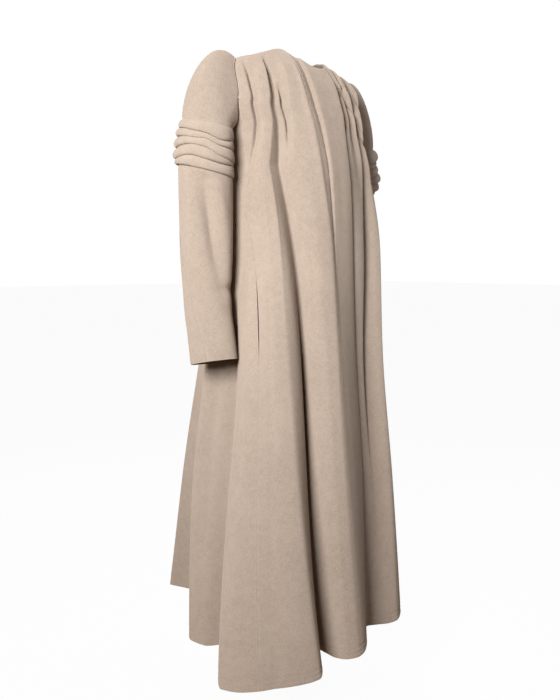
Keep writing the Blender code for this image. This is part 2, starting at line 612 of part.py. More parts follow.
def main():
    for old in list(bpy.data.objects):
        bpy.data.objects.remove(old)
    collection = bpy.data.collections.new("maxi_coat")
    bpy.context.scene.collection.children.link(collection)
    root = bpy.data.objects.new("coat_neck", None)
    collection.objects.link(root)
    kit = {"wool": wool(), "collection": collection, "root": root}
    shares = (np.arange(BODY_ROWS + 1) / BODY_ROWS) ** ROW_CROWDING
    sheet = {}
    place = {}
    # Each panel's folds and stretch of the top edge, and how far its side seams gape: none where free
    for name, rows, start, end, first, last in (
            ("front_right", FRONT_RIGHT, -SIDE_NECK, UNDERARM_RIGHT, None, POCKET_GAPE),
            ("back_right", BACK, UNDERARM_RIGHT, BACK_PLACE, POCKET_GAPE, 0.0),
            ("back_left", BACK, BACK_PLACE, UNDERARM_LEFT, 0.0, POCKET_GAPE),
            ("front_left", FRONT_LEFT, UNDERARM_LEFT, WHOLE_ROUND, POCKET_GAPE, None)):
        at = fold_columns(rows)
        places = fold_values(rows, at)["place"]
        within = (places > start - PLACE_SLACK) & (places < end + PLACE_SLACK)
        place[name] = places[within]
        sheet[name], away = body_sheet(rows, at[within], shares)
        points = open_seams(sheet[name], first, last)
        cloth_object(name, points, wall_normals(points, away, first, last), False, kit)
    for side, mirrored in (("right", False), ("left", True)):
        front, back = f"front_{side}", f"back_{side}"
        loop, turn = armhole((sheet[front], sheet[back]), (place[front], place[back]), mirrored)
        pieces = sleeve_sheets(loop, turn, -1.0 if mirrored else 1.0)
        names = ("sleeve_cap", "sleeve_band", "sleeve_outer", "sleeve_under")
        for piece, points in zip(names, pieces):
            closed = piece in ("sleeve_cap", "sleeve_band")
            normal = sleeve_normals(points, piece != "sleeve_cap")
            cloth_object(f"{piece}_{side}", points, normal, closed, kit)


if __name__ == "__main__":
    main()
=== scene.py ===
"""The coat's looks: thick napped wool over the coat's form, with its pleats, tucks and sewing."""
import math

import bpy
import numpy as np
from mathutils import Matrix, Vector


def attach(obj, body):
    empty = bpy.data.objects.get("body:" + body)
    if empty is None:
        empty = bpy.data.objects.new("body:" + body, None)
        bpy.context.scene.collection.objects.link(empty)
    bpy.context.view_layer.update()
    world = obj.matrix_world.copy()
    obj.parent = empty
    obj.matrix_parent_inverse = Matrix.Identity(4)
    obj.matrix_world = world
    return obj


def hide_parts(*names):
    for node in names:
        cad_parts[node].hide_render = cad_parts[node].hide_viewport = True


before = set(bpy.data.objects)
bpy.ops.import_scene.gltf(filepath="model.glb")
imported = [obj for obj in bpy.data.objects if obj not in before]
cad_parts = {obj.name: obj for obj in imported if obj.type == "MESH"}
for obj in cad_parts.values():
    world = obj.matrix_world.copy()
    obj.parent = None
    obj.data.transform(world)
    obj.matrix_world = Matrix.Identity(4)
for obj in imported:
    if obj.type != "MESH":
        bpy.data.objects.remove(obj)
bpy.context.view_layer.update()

# Driving sizes, as in the solids
WALL = 0.0022
NECK_HALF_WIDTH = 0.064
FRONT_NECK_DROP = 0.038
BACK_NECK_DROP = 0.004
SHOULDER_HALF_WIDTH = 0.151
SHOULDER_DROP = 0.030
UNDERARM_LEVEL = -0.168
ARMHOLE_ROUNDNESS = 1.5
ARMHOLE_HALF_DROP = math.sin(math.pi / 4) ** ARMHOLE_ROUNDNESS
ARMHOLE_DEEPEST = -SHOULDER_DROP + (UNDERARM_LEVEL + SHOULDER_DROP) * ARMHOLE_HALF_DROP
ARMHOLE_FRONT_TURN = 18.0
ARMHOLE_BACK_TURN = 27.0
FRONT_TIP_TURN = 70.5
BACK_TIP_TURN = 46.0
LEFT_DROP = 0.015
LEFT_DROP_START = -0.030
LEFT_DROP_END = 0.105
LEFT_DROP_FROM = -0.168
POCKET_TOP = -0.465
POCKET_BOTTOM = -0.650
YOKE_LEVEL = -0.120
CHEST_LEVEL = -0.250
WAIST_LEVEL = -0.420
HIP_LEVEL = -0.650
HEM_LEVEL = -1.250
SEWN_LIFT_SHARE = 0.45
SEWN_FADE = 0.060
NECK_SPREAD = 0.30
FLAT_LIFT_FROM = -0.100
FLAT_LIFT_TO = -0.300

# The wool closes over its seams and pocket mouths, so both gape less than in the solids, and
# the wool within reach of a mouth is drawn back with its edge
SEAM_GAP = 0.0001
POCKET_GAPE = 0.0025
POCKET_REACH = 0.014

# Places along the top edge: 0 centre front, 1 side neck, 2 shoulder end, 3 underarm,
# 4 shoulder end, 5 side neck, 6 centre back, and on to 12 round the left side
SIDE_NECK = 1.0
SHOULDER_END = 2.0
UNDERARM_RIGHT = 3.0
BACK_SHOULDER_END = 4.0
BACK_SIDE_NECK = 5.0
BACK_PLACE = 6.0
UNDERARM_LEFT = 9.0
WHOLE_ROUND = 12.0
SIDE_TURN = 90.0
BACK_TURN = 180.0
WHOLE_TURN = 360.0

# Plain form of the body: half width, depths before and behind its middle, and the middle
FORM_COLUMNS = ("level", "half_width", "front", "back", "right", "rear")
FORM = (
    (0.0000, 0.064, 0.0300, 0.066, 0.000, 0.000),
    (-0.0044, 0.076, 0.0385, 0.069, 0.000, 0.001),
    (-0.0190, 0.118, 0.0575, 0.077, 0.000, 0.004),
    (-0.0300, 0.151, 0.0710, 0.082, 0.000, 0.008),
    (-0.0600, 0.164, 0.0990, 0.087, 0.000, 0.018),
    (-0.1200, 0.169, 0.1290, 0.090, 0.000, 0.026),
    (-0.1680, 0.151, 0.1430, 0.091, 0.000, 0.028),
    (-0.2500, 0.145, 0.1560, 0.093, 0.000, 0.028),
    (-0.4200, 0.146, 0.1700, 0.112, 0.003, 0.028),
    (-0.6500, 0.160, 0.1860, 0.150, 0.010, 0.027),
    (-0.9500, 0.205, 0.2100, 0.210, 0.018, 0.026),
    (-1.2500, 0.245, 0.2300, 0.270, 0.025, 0.025),
)

# Folds: where each starts on the top edge, its angle at four levels, and how far it
# stands off the plain form at five levels, in millimetres
FOLD_COLUMNS = ("name", "place", "chest", "waist", "hip", "hem",
                "yoke_lift", "chest_lift", "waist_lift", "hip_lift", "hem_lift")
FRONT_RIGHT = (
    ("lap_edge", -0.42, -21.5, -23.5, -25.0, -13.0, 5, 6, 5, 1, 3),
    ("panel", 0.00, -7.0, -8.0, -8.0, -6.0, 4, 4, 6, 12, 34),
    ("panel_fold", 0.36, 4.5, 3.8, 4.5, 1.0, 8, 9, 12, 28, 60),
    ("panel_hollow", 0.45, 7.0, 6.5, 7.0, 3.5, 0, 5, 15, 33, 66),
    ("second_front", 0.75, 14.0, 11.5, 11.0, 6.5, 8, 12, 24, 39, 70),
    ("second_crest", 1.00, 25.0, 21.0, 16.5, 10.5, 7, 16, 28, 39, 66),
    ("second_back", 1.25, 34.0, 28.0, 21.5, 14.5, 9, 12, 18, 26, 45),
    ("short_pleat", 1.36, 40.0, 33.5, 26.0, 16.0, -3, 6, 8, 10, 20),
    ("deep_valley", 1.56, 49.5, 38.5, 29.5, 18.0, -8, -6, -2, 0, 0),
    ("near_front", 1.66, 55.5, 47.0, 39.5, 25.5, 7, 12, 31, 58, 114),
    ("near_crest", 1.78, 60.5, 51.5, 45.0, 36.0, 7, 15, 32, 64, 132),
    ("shoulder_pleat", 1.87, 66.0, 54.5, 48.0, 40.0, -3, 9, 28, 62, 136),
    ("shoulder_end", 2.00, FRONT_TIP_TURN, 57.0, 49.3, 40.9, 0, 6, 26, 62, 138),
    ("arm_front", 2.50, 76.5, 61.5, 51.8, 42.7, 0, 1, 21, 60, 142),
    ("side_seam", 3.00, 90.0, 66.0, 54.0, 44.5, 0, 0, 16, 58, 146),
)
BACK = (
    ("side_seam", 3.00, 90.0, 66.0, 54.0, 44.5, 0, 0, 16, 58, 146),
    ("near_back", 3.12, 94.0, 73.0, 60.0, 50.5, 0, 0, 9, 53, 153),
    ("near_corner", 3.25, 99.0, 79.5, 65.0, 55.5, 0, 0, 2, 40, 148),
    ("arm_hollow", 3.50, 110.0, 94.0, 84.0, 67.0, 0, 0, -4, -10, -17),
    ("side_front", 3.75, 120.0, 107.0, 98.0, 77.0, 0, 0, -4, -4, 8),
    ("side_crest", 4.00, 180.0 - BACK_TIP_TURN, 117.0, 108.0, 86.0, 0, 2, 6, 20, 10),
    ("side_rear", 4.25, 139.0, 126.0, 118.0, 99.0, 4, 4, 6, 14, -24),
    ("hollow", 4.50, 144.0, 134.0, 129.0, 128.0, -4, 0, 0, -4, -70),
    ("rear_front", 4.75, 150.0, 143.0, 140.0, 150.0, 4, 4, 8, 26, -30),
    ("rear_crest", 5.00, 156.0, 152.0, 149.0, 153.0, 3, 5, 16, 46, 32),
    ("rear_inner", 5.45, 166.0, 165.0, 164.0, 167.0, -3, 1, 4, 16, 34),
    ("centre_back", 6.00, 180.0, 180.0, 180.0, 180.0, 4, 2, -2, -10, -22),
    ("left_rear_inner", 6.55, 194.0, 195.0, 196.0, 193.0, -3, 1, 4, 14, 30),
    ("left_rear_crest", 7.00, 204.0, 208.0, 211.0, 207.0, 3, 5, 13, 34, 30),
    ("left_rear_front", 7.25, 210.0, 217.0, 220.0, 211.0, 4, 4, 8, 20, -26),
    ("left_hollow", 7.50, 216.0, 226.0, 230.0, 231.0, -4, 0, 0, -4, -58),
    ("left_side_rear", 7.75, 221.0, 234.0, 241.0, 258.0, 4, 4, 6, 14, -14),
    ("left_side_crest", 8.00, 180.0 + BACK_TIP_TURN, 243.0, 250.0, 270.0, 0, 2, 6, 20, 26),
    ("left_side_front", 8.25, 240.0, 253.0, 262.0, 282.0, 0, 0, -4, -4, 14),
    ("left_arm_hollow", 8.50, 250.0, 266.0, 276.0, 294.0, 0, 0, -4, -10, -12),
    ("left_near_corner", 8.75, 261.0, 280.0, 295.0, 303.0, 0, 0, 2, 14, 24),
    ("left_side_seam", 9.00, 270.0, 292.0, 303.0, 311.0, 0, 0, 12, 34, 40),
)
FRONT_LEFT = (
    ("left_side_seam", 9.00, 270.0, 292.0, 303.0, 311.0, 0, 0, 12, 34, 40),
    ("left_arm_front", 9.50, 283.5, 296.0, 304.5, 313.5, 0, 2, 28, 42, 43),
    ("left_shoulder_end", 10.00, 360.0 - FRONT_TIP_TURN, 300.0, 306.0, 316.0, 0, 18, 48, 50, 47),
    ("left_shoulder_pleat", 10.14, 297.0, 304.0, 309.5, 319.0, 10, 36, 60, 56, 50),
    ("left_short_pleat", 10.32, 303.0, 308.5, 314.0, 323.0, 6, 46, 62, 56, 50),
    ("left_crest", 10.52, 307.0, 311.0, 316.5, 327.0, 20, 44, 52, 46, 48),
    ("left_pleat", 10.74, 310.0, 313.5, 318.5, 332.0, 6, 36, 36, 28, 34),
    ("left_ridge", 11.00, 313.0, 316.0, 321.0, 336.0, 12, 30, 26, 18, 12),
    ("left_valley", 11.18, 320.0, 322.0, 327.0, 340.0, 2, 14, 20, 10, -4),
    ("left_panel", 11.36, 328.0, 330.0, 333.5, 343.5, 6, 7, 10, 0, -6),
    ("left_under_lap", 11.58, 340.0, 338.0, 336.5, 347.0, -1, -1, -2, -6, -4),
    ("left_edge", 11.76, 348.0, 346.0, 343.0, 351.0, -2, -2, -2, -2, 5),
)

# Pleat creases pressed into the body: the fold each follows, how far beside it (in folds) at
# its top and its end, where it starts, is deepest and ends, the run over which it deepens, then
# trough depth and width, ridge height and how far the ridge laps the trough, in millimetres
CREASE_COLUMNS = ("fold", "shift", "end_shift", "start", "full", "end", "rise",
                  "depth", "width", "ridge", "lap", "side")
CREASES = (
    ("shoulder_end", -0.10, 0.05, -0.030, -0.165, -0.265, 0.040, 18.0, 5.5, 1.5, 1.5, -1),
    ("deep_valley", 0.10, 0.10, 0.005, -0.200, -0.360, 0.030, 8.0, 6.5, 0.0, 0.0, 1),
    ("deep_valley", 0.15, 0.00, -0.110, -0.700, -1.200, 0.240, 27.0, 16.0, 4.0, 8.0, 1),
    ("short_pleat", 0.25, 0.00, -0.066, -0.172, -0.236, 0.050, 16.0, 6.0, 1.5, 2.0, 1),
    ("second_front", 0.60, 0.00, -0.030, -0.260, -0.420, 0.060, -5.0, 10.0, 0.0, 0.0, 1),
    ("panel_hollow", -0.25, -0.30, 0.010, -0.260, -0.560, 0.018, 3.5, 3.4, 0.0, 0.0, -1),
    ("lap_edge", 0.00, 0.00, -0.040, -0.130, -0.230, 0.030, -2.5, 16.0, 0.0, 0.0, 1),
    ("left_panel", 0.55, 0.25, -0.060, -0.120, -0.190, 0.030, 12.0, 7.0, 0.0, 0.0, -1),
    ("left_panel", 0.70, -4.40, -0.060, -0.185, -0.215, 0.020, 16.0, 6.5, 3.0, 3.0, -1),
    ("left_ridge", -0.60, -0.50, -0.140, -0.560, -1.150, 0.200, 19.0, 14.0, 0.0, 0.0, -1),
    ("left_ridge", 0.30, -2.60, -0.045, -0.120, -0.185, 0.030, 6.0, 4.5, 1.5, 1.5, -1),
    ("left_pleat", 0.20, -2.20, -0.040, -0.100, -0.160, 0.030, 6.0, 4.5, 1.5, 1.5, -1),
    ("left_short_pleat", 0.00, -0.60, 0.000, -0.090, -0.180, 0.018, 5.0, 4.0, 1.5, 2.0, -1),
    ("arm_hollow", 0.00, 0.20, -0.480, -1.050, -1.300, 0.150, 16.0, 17.0, 0.0, 0.0, 1),
    ("hollow", 0.00, 0.00, 0.005, -0.120, -0.300, 0.018, 5.5, 5.0, 1.5, 2.5, 1),
    ("rear_inner", 0.20, 0.00, 0.010, -0.110, -0.340, 0.018, 5.0, 4.5, 1.5, 2.5, 1),
    ("rear_front", -0.20, 0.10, 0.005, -0.080, -0.190, 0.018, 4.0, 4.0, 1.0, 2.0, 1),
    ("side_rear", 0.20, 0.00, -0.010, -0.100, -0.230, 0.018, 4.0, 4.0, 1.0, 2.0, 1),
    ("left_rear_inner", -0.20, 0.00, 0.010, -0.120, -0.310, 0.018, 5.0, 4.5, 1.5, 2.5, -1),
    ("left_hollow", 0.00, 0.00, 0.005, -0.110, -0.280, 0.018, 5.5, 5.0, 1.5, 2.5, -1),
    ("left_rear_front", 0.20, -0.10, 0.005, -0.080, -0.200, 0.018, 4.0, 4.0, 1.0, 2.0, -1),
    ("left_side_rear", -0.20, 0.00, -0.010, -0.090, -0.215, 0.018, 4.0, 4.0, 1.0, 2.0, -1),
)
RIDGE_SPREAD = 1.7
MM_PER_M = 1000.0

# Sampling of the wool
FOLD_STEPS = 12
BODY_ROWS = 200
ROW_CROWDING = 1.35
TRACE_STEPS = 240
RATE_STEP = 0.0005
PLACE_SLACK = 1e-6
LEAST_MITRE = 0.85
# Rows near the hem, in metres above its edge, with the two stitched rows among them
HEM_STOPS = (0.0260, 0.0230, 0.0205, 0.0185, 0.0165, 0.0145, 0.0120,
             0.0100, 0.0080, 0.0060, 0.0040, 0.0022, 0.0009, 0.0)
STITCHED = (0.0185, 0.0100)

# Sewing: how far the wool sinks at stitches, seams and free edges, and over what width
STITCH_SINK = 0.0008
STITCH_SPREAD = 0.0022
SEAM_DIP = 0.0009
SEAM_SOFT = 0.0035
EDGE_DIP = 0.0008
EDGE_SOFT = 0.0016
# One stitch, and its arch: how high it stands, in thread radii, at shares of its length
STITCH_LENGTH = 0.0034
STITCH_PITCH = 0.0046
STITCH_RADIUS = 0.00036
STITCH_SIDES = 5
ARCH_SHARES = (0.0, 0.2, 0.5, 0.8, 1.0)
ARCH_RISES = (-0.9, 0.25, 0.5, 0.25, -0.9)

# Sleeve: rings from the top of the tucked band to the cuff, for the right sleeve
RING_COLUMNS = ("level", "out", "rear", "half_width", "half_depth", "slope_out", "slope_rear")
RINGS = (
    (-0.168, 0.208, 0.030, 0.0500, 0.0565, 0.15, 0.126),
    (-0.263, 0.214, 0.030, 0.0560, 0.0575, 0.18, 0.150),
    (-0.330, 0.214, 0.030, 0.0555, 0.0575, 0.11, 0.090),
    (-0.430, 0.214, 0.030, 0.0540, 0.0565, 0.02, 0.000),
    (-0.530, 0.214, 0.028, 0.0495, 0.0510, 0.00, -0.050),
    (-0.600, 0.215, 0.014, 0.0490, 0.0500, 0.00, -0.150),
    (-0.656, 0.219, -0.002, 0.0490, 0.0505, 0.00, -0.200),
)
BAND_TOP = -0.168
BAND_BOTTOM = -0.263
CUFF_LEVEL = -0.656
# Lower edges of the band's rolled tucks at turns round the sleeve, as shares of its height
TUCK_COLUMNS = ("turn", "first", "second", "third", "fourth")
TUCK_EDGES = (
    (-50.0, 0.20, 0.43, 0.70, 0.74),
    (9.0, 0.32, 0.44, 0.64, 0.80),
    (40.0, 0.25, 0.36, 0.54, 0.78),
    (60.0, 0.24, 0.38, 0.53, 0.76),
    (130.0, 0.18, 0.38, 0.64, 0.88),
    (185.0, 0.22, 0.45, 0.61, 0.84),
    (245.0, 0.19, 0.39, 0.63, 0.80),
    (310.0, 0.20, 0.43, 0.70, 0.74),
)
# How far each tuck stands out, and how it swells and thins in waves round the sleeve
TUCK_HEIGHTS = (0.0085, 0.0080, 0.0100, 0.0105, 0.0085)
TUCK_SWELL_COLUMNS = ("share", "waves", "phase")
TUCK_SWELLS = (
    (0.22, 2, 20.0),
    (0.26, 3, 75.0),
    (0.18, 2, 150.0),
    (0.24, 3, 10.0),
    (0.16, 2, 240.0),
)
TUCK_ROLL = 0.36
TUCK_ROUNDNESS = 0.75
TUCK_USUAL_SHARE = 0.20
TUCK_INNER_SHARE = 0.25
TUCK_INNER_REACH = 0.625
TUCK_ROWS = 16
# Sleeve head: which way it leaves the armhole, and how full it is there and at the band
CAP_ROWS = 52
CAP_RISE = 0.66
CAP_SINK = 0.45
CAP_SPREAD = 0.10
CAP_OUT_LOW = 0.25
CAP_FULLNESS = 1.50
CAP_FALL = 1.20
# Lower sleeve: the rear seam turns from the back of the sleeve towards the front of the cuff,
# and the other stays on the side next to the body
SLEEVE_ROWS = 130
SLEEVE_COLUMNS = 48
SEAM_COLUMNS = ("level", "rear_seam", "inner_seam")
SLEEVE_SEAMS = (
    (-0.263, 150.0, 318.0),
    (-0.430, 108.0, 318.0),
    (-0.500, 84.0, 318.0),
    (-0.620, 60.0, 318.0),
    (-0.656, 55.0, 318.0),
)
# Soft hollows (and ridges, below nought) of the lower sleeve: middle, half length down it, half
# width round it, depth, and how far it leans round the sleeve on its way down
DRAPE_COLUMNS = ("level", "turn", "length", "width", "depth", "lean")
DRAPES = (
    (-0.365, 26.0, 0.115, 0.020, 0.0210, 0.17),
    (-0.325, 2.0, 0.045, 0.013, -0.0030, 0.12),
    (-0.340, 58.0, 0.090, 0.016, -0.0022, 0.16),
    (-0.505, -30.0, 0.011, 0.030, 0.0040, 0.0),
    (-0.535, -20.0, 0.014, 0.034, -0.0016, 0.0),
    (-0.300, 95.0, 0.045, 0.012, 0.0016, 0.05),
    (-0.470, 190.0, 0.080, 0.016, 0.0028, 0.12),
    (-0.540, 165.0, 0.016, 0.026, 0.0020, 0.0),
    (-0.330, 235.0, 0.070, 0.015, 0.0026, 0.10),
)
DRAPE_TOP_FADE = 0.02
DRAPE_CUFF_FADE = 0.05


def table(columns, rows):
    """The named columns of a table as arrays."""
    return {name: np.array([row[k] for row in rows]) for k, name in enumerate(columns)}


def named_rows(columns, rows):
    """The rows of a table, each with its values by column name."""
    return [dict(zip(columns, row)) for row in rows]


def smooth_through(x, knots, values):
    """A smooth curve through the knots that never overshoots them."""
    knots = np.asarray(knots, float)
    values = np.asarray(values, float)
    span = np.diff(knots)
    rate = np.diff(values) / span
    slope = np.empty(len(knots))
    slope[0] = rate[0]
    slope[-1] = rate[-1]
    before, after = rate[:-1], rate[1:]
    near, far = 2 * span[1:] + span[:-1], span[1:] + 2 * span[:-1]
    steady = before * after > 0
    safe_before = np.where(steady, before, 1.0)
    safe_after = np.where(steady, after, 1.0)
    slope[1:-1] = np.where(steady, (near + far) / (near / safe_before + far / safe_after), 0.0)
    x = np.clip(x, knots[0], knots[-1])
    cell = np.clip(np.searchsorted(knots, x, side="right") - 1, 0, len(span) - 1)
    s = (x - knots[cell]) / span[cell]
    rise = values[cell + 1] - values[cell]
    start, end = slope[cell] * span[cell], slope[cell + 1] * span[cell]
    square, cube = 3 * rise - 2 * start - end, start + end - 2 * rise
    return values[cell] + s * (start + s * (square + s * cube))


def by_level(columns, rows, name, level):
    """One column of a table whose rows go down, at any level."""
    data = table(columns, rows)
    return smooth_through(-np.asarray(level, float), -data["level"], data[name])


def ease(x):
    """0 to 1 with a soft start and end."""
    x = np.clip(x, 0.0, 1.0)
    return x * x * (3 - 2 * x)


def unit(vectors):
    """Vectors at a length of one."""
    return vectors / np.linalg.norm(vectors, axis=-1, keepdims=True)


def form(name, level):
    """A size of the body's plain form at any level."""
    return by_level(FORM_COLUMNS, FORM, name, level)


def form_rate(name, level):
    """How fast a size of the plain form changes with height."""
    return (form(name, level + RATE_STEP) - form(name, level - RATE_STEP)) / (2 * RATE_STEP)


def half_edge(place):
    """Distance from the middle and level of the right half's neck, shoulder and armhole edge."""
    back = place > UNDERARM_RIGHT
    if place <= SIDE_NECK or place >= BACK_SIDE_NECK:
        turn = math.radians(SIDE_TURN * (BACK_PLACE - place if back else place))
        drop = BACK_NECK_DROP if back else FRONT_NECK_DROP
        return NECK_HALF_WIDTH * math.sin(turn), -drop * math.cos(turn) ** 2
    if place <= SHOULDER_END or place >= BACK_SHOULDER_END:
        level = -SHOULDER_DROP * (BACK_SIDE_NECK - place if back else place - SIDE_NECK)
        return float(form("half_width", level)), level
    share = BACK_SHOULDER_END - place if back else place - SHOULDER_END
    dropped = math.sin(0.5 * math.pi * share) ** ARMHOLE_ROUNDNESS
    level = -SHOULDER_DROP + (UNDERARM_LEVEL + SHOULDER_DROP) * dropped
    turn = (ARMHOLE_BACK_TURN if back else ARMHOLE_FRONT_TURN) * math.sin(math.pi * share)
    return float(form("half_width", level)) * math.cos(math.radians(turn)), level


def top_edge(place):
    """Signed distance to the right, level, and whether the place is on an armhole."""
    if place < 0.0:
        across, level = half_edge(-place)
        return -across, level, False
    mirrored = place > BACK_PLACE
    local = WHOLE_ROUND - place if mirrored else place
    across, level = half_edge(local)
    on_armhole = abs(local - UNDERARM_RIGHT) < 1.0 + PLACE_SLACK
    return (-across if mirrored else across), level, on_armhole


def straight_turn(level, level_top, across_top, chest_turn):
    """Turn of a line that hangs straight from the top edge, then runs evenly to its chest turn."""
    high = np.maximum(level, ARMHOLE_DEEPEST)
    share = (level_top - high) / (level_top - CHEST_LEVEL)
    across_chest = float(form("half_width", CHEST_LEVEL)) * math.sin(math.radians(chest_turn))
    across = across_top + (across_chest - across_top) * share
    turn = np.degrees(np.arcsin(np.clip(across / form("half_width", high), -1.0, 1.0)))
    down = np.clip((ARMHOLE_DEEPEST - level) / (ARMHOLE_DEEPEST - CHEST_LEVEL), 0.0, 1.0)
    return turn + (chest_turn - turn) * down


def armhole_turn(level, level_top, chest_turn, is_back):
    """Turn of a line from the armhole: beside its edge to its deepest point, then to the chest."""
    deep = ARMHOLE_BACK_TURN if is_back else ARMHOLE_FRONT_TURN
    tip_turn = BACK_TIP_TURN if is_back else FRONT_TIP_TURN
    knee = min(level_top, ARMHOLE_DEEPEST)
    high = np.maximum(level, knee)
    dropped = np.clip((high + SHOULDER_DROP) / (UNDERARM_LEVEL + SHOULDER_DROP), 0.0, 1.0)
    edge = SIDE_TURN - deep * np.sin(2.0 * np.arcsin(dropped ** (1.0 / ARMHOLE_ROUNDNESS)))
    tip = straight_turn(high, -SHOULDER_DROP, SHOULDER_HALF_WIDTH, tip_turn)
    run = np.clip((level_top - high) / (level_top - CHEST_LEVEL), 0.0, 1.0)
    whole = np.clip((-SHOULDER_DROP - high) / (-SHOULDER_DROP - CHEST_LEVEL), PLACE_SLACK, 1.0)
    chest_share = (SIDE_TURN - chest_turn) / (SIDE_TURN - tip_turn)
    beside = edge - (edge - tip) * chest_share * run / whole
    down = np.clip((knee - level) / (knee - CHEST_LEVEL), 0.0, 1.0)
    return beside + (chest_turn - beside) * down


def fold_values(rows, at):
    """Every number of a fold table at fractional row positions."""
    data = table(FOLD_COLUMNS, rows)
    index = np.arange(len(rows))
    return {name: smooth_through(at, index, data[name]) for name in FOLD_COLUMNS[1:]}


def column_line(place, angles):
    """One line of the plain form from top edge to hem: its points and outward directions."""
    across_top, level_top, on_armhole = top_edge(place)
    is_back = UNDERARM_RIGHT < place < UNDERARM_LEFT
    middle = BACK_TURN if is_back else (WHOLE_TURN if place >= UNDERARM_LEFT else 0.0)
    facing = -1.0 if is_back else 1.0
    level = level_top + (HEM_LEVEL - level_top) * np.linspace(0.0, 1.0, TRACE_STEPS) ** 2
    half_width = form("half_width", level)
    chest_local = facing * (angles[0] - middle)
    if on_armhole:
        side = math.copysign(1.0, chest_local)
        local = side * armhole_turn(level, level_top, abs(chest_local), is_back)
    else:
        local = straight_turn(level, level_top, across_top, chest_local)
    upper = middle + facing * local
    levels = (CHEST_LEVEL, WAIST_LEVEL, HIP_LEVEL, HEM_LEVEL)
    lower = smooth_through(-level, [-z for z in levels], angles)
    turn = np.radians(np.where(level > CHEST_LEVEL, upper, lower))
    depth = np.where(np.cos(turn) >= 0.0, form("front", level), form("back", level))
    points = np.stack([-form("right", level) - half_width * np.sin(turn),
                       form("rear", level) - depth * np.cos(turn),
                       level], axis=-1)
    width_rate = form_rate("half_width", level)
    depth_rate = np.where(np.cos(turn) >= 0.0, form_rate("front", level), form_rate("back", level))
    tilt = -(np.sin(turn) ** 2 * width_rate / half_width + np.cos(turn) ** 2 * depth_rate / depth)
    tilt = tilt * (1.0 - ease((FLAT_LIFT_FROM - level) / (FLAT_LIFT_FROM - FLAT_LIFT_TO)))
    away = np.stack([-np.sin(turn) / half_width, -np.cos(turn) / depth, tilt], axis=-1)
    return points, unit(away)


def run_along(points, axis=0):
    """Distance along one axis of a line or grid of points, from its first point."""
    step = np.linalg.norm(np.diff(points, axis=axis), axis=-1)
    start = np.zeros_like(np.take(step, [0], axis=axis))
    return np.concatenate([start, np.cumsum(step, axis=axis)], axis=axis)


def at_stops(vectors, run, stops):
    """The vectors along a line at given distances down it."""
    return np.stack([np.interp(stops, run, vectors[:, k]) for k in range(3)], axis=-1)


def row_stops(length):
    """Distances down a line of the body: crowded at the top, with the hem's own rows at its end."""
    upper = (np.arange(BODY_ROWS + 1) / BODY_ROWS) ** ROW_CROWDING * (length - HEM_STOPS[0])
    return np.concatenate([upper, length - np.array(HEM_STOPS[1:])])


def spaced(line, away):
    """A line and its outward directions at the body's rows."""
    run = run_along(line)
    stops = row_stops(run[-1])
    return at_stops(line, run, stops), at_stops(away, run, stops)


def body_sheet(rows, at):
    """The outer face of a body panel, columns by rows, and the way out at each point."""
    value = fold_values(rows, at)
    plain = []
    away = []
    for k, place in enumerate(value["place"]):
        angles = [value[name][k] for name in ("chest", "waist", "hip", "hem")]
        line, out = spaced(*column_line(place, angles))
        plain.append(line)
        away.append(out)
    plain = np.array(plain)
    away = unit(np.array(away))
    level = plain[:, :, 2]
    knots = [0.0, -YOKE_LEVEL, -CHEST_LEVEL, -WAIST_LEVEL, -HIP_LEVEL, -HEM_LEVEL]
    lift = np.empty(level.shape)
    for k, place in enumerate(value["place"]):
        stated = [value[name + "_lift"][k] for name in ("yoke", "chest", "waist", "hip", "hem")]
        local = abs(WHOLE_ROUND - place if place > BACK_PLACE else place)
        free = SEWN_LIFT_SHARE * ease(max(SIDE_NECK - local, local - BACK_SIDE_NECK) / NECK_SPREAD)
        fade = free + (1.0 - free) * ease((level[k, 0] - level[k]) / SEWN_FADE)
        lift[k] = smooth_through(-level[k], knots, [stated[0]] + stated) * fade / MM_PER_M
    points = plain + away * lift[:, :, None]
    outward = ease((points[..., 0] - LEFT_DROP_START) / (LEFT_DROP_END - LEFT_DROP_START))
    upward = 1.0 - ease((level - LEFT_DROP_FROM) / (HIP_LEVEL - LEFT_DROP_FROM))
    points[..., 2] -= LEFT_DROP * outward * upward
    return points, away, value["place"]


def press_creases(points, away, rows, at):
    """Press pleat creases into a body panel, each a trough lapped by a ridge on one side."""
    names = [row[0] for row in rows]
    run = run_along(points)
    across = unit(np.gradient(points, axis=0))
    out_move = np.zeros(run.shape)
    side_move = np.zeros(run.shape)
    for crease in named_rows(CREASE_COLUMNS, CREASES):
        if crease["fold"] not in names:
            continue
        fold = names.index(crease["fold"])
        if not at[0] <= fold <= at[-1]:
            continue
        level = points[int(np.argmin(np.abs(at - fold))), :, 2]
        start = min(crease["start"], level[0])
        grow = ease((start - level) / crease["rise"])
        fade = 1.0 - ease((crease["full"] - level) / (crease["full"] - crease["end"]))
        down = np.clip((start - level) / (start - crease["end"]), 0.0, 1.0)
        beside = fold + crease["shift"] + (crease["end_shift"] - crease["shift"]) * down
        middle = np.array([np.interp(beside[r], at, run[:, r]) for r in range(len(level))])
        off = run - middle[None, :]
        width = crease["width"] / MM_PER_M
        ridge_at = crease["side"] * width * RIDGE_SPREAD
        trough = np.exp(-(off / width) ** 2)
        ridge = np.exp(-((off - ridge_at) / (width * RIDGE_SPREAD)) ** 2)
        strength = (grow * fade)[None, :] / MM_PER_M
        out_move += strength * (crease["ridge"] * ridge - crease["depth"] * trough)
        side_move -= strength * crease["side"] * crease["lap"] * ridge
    return points + away * out_move[..., None] + across * side_move[..., None]


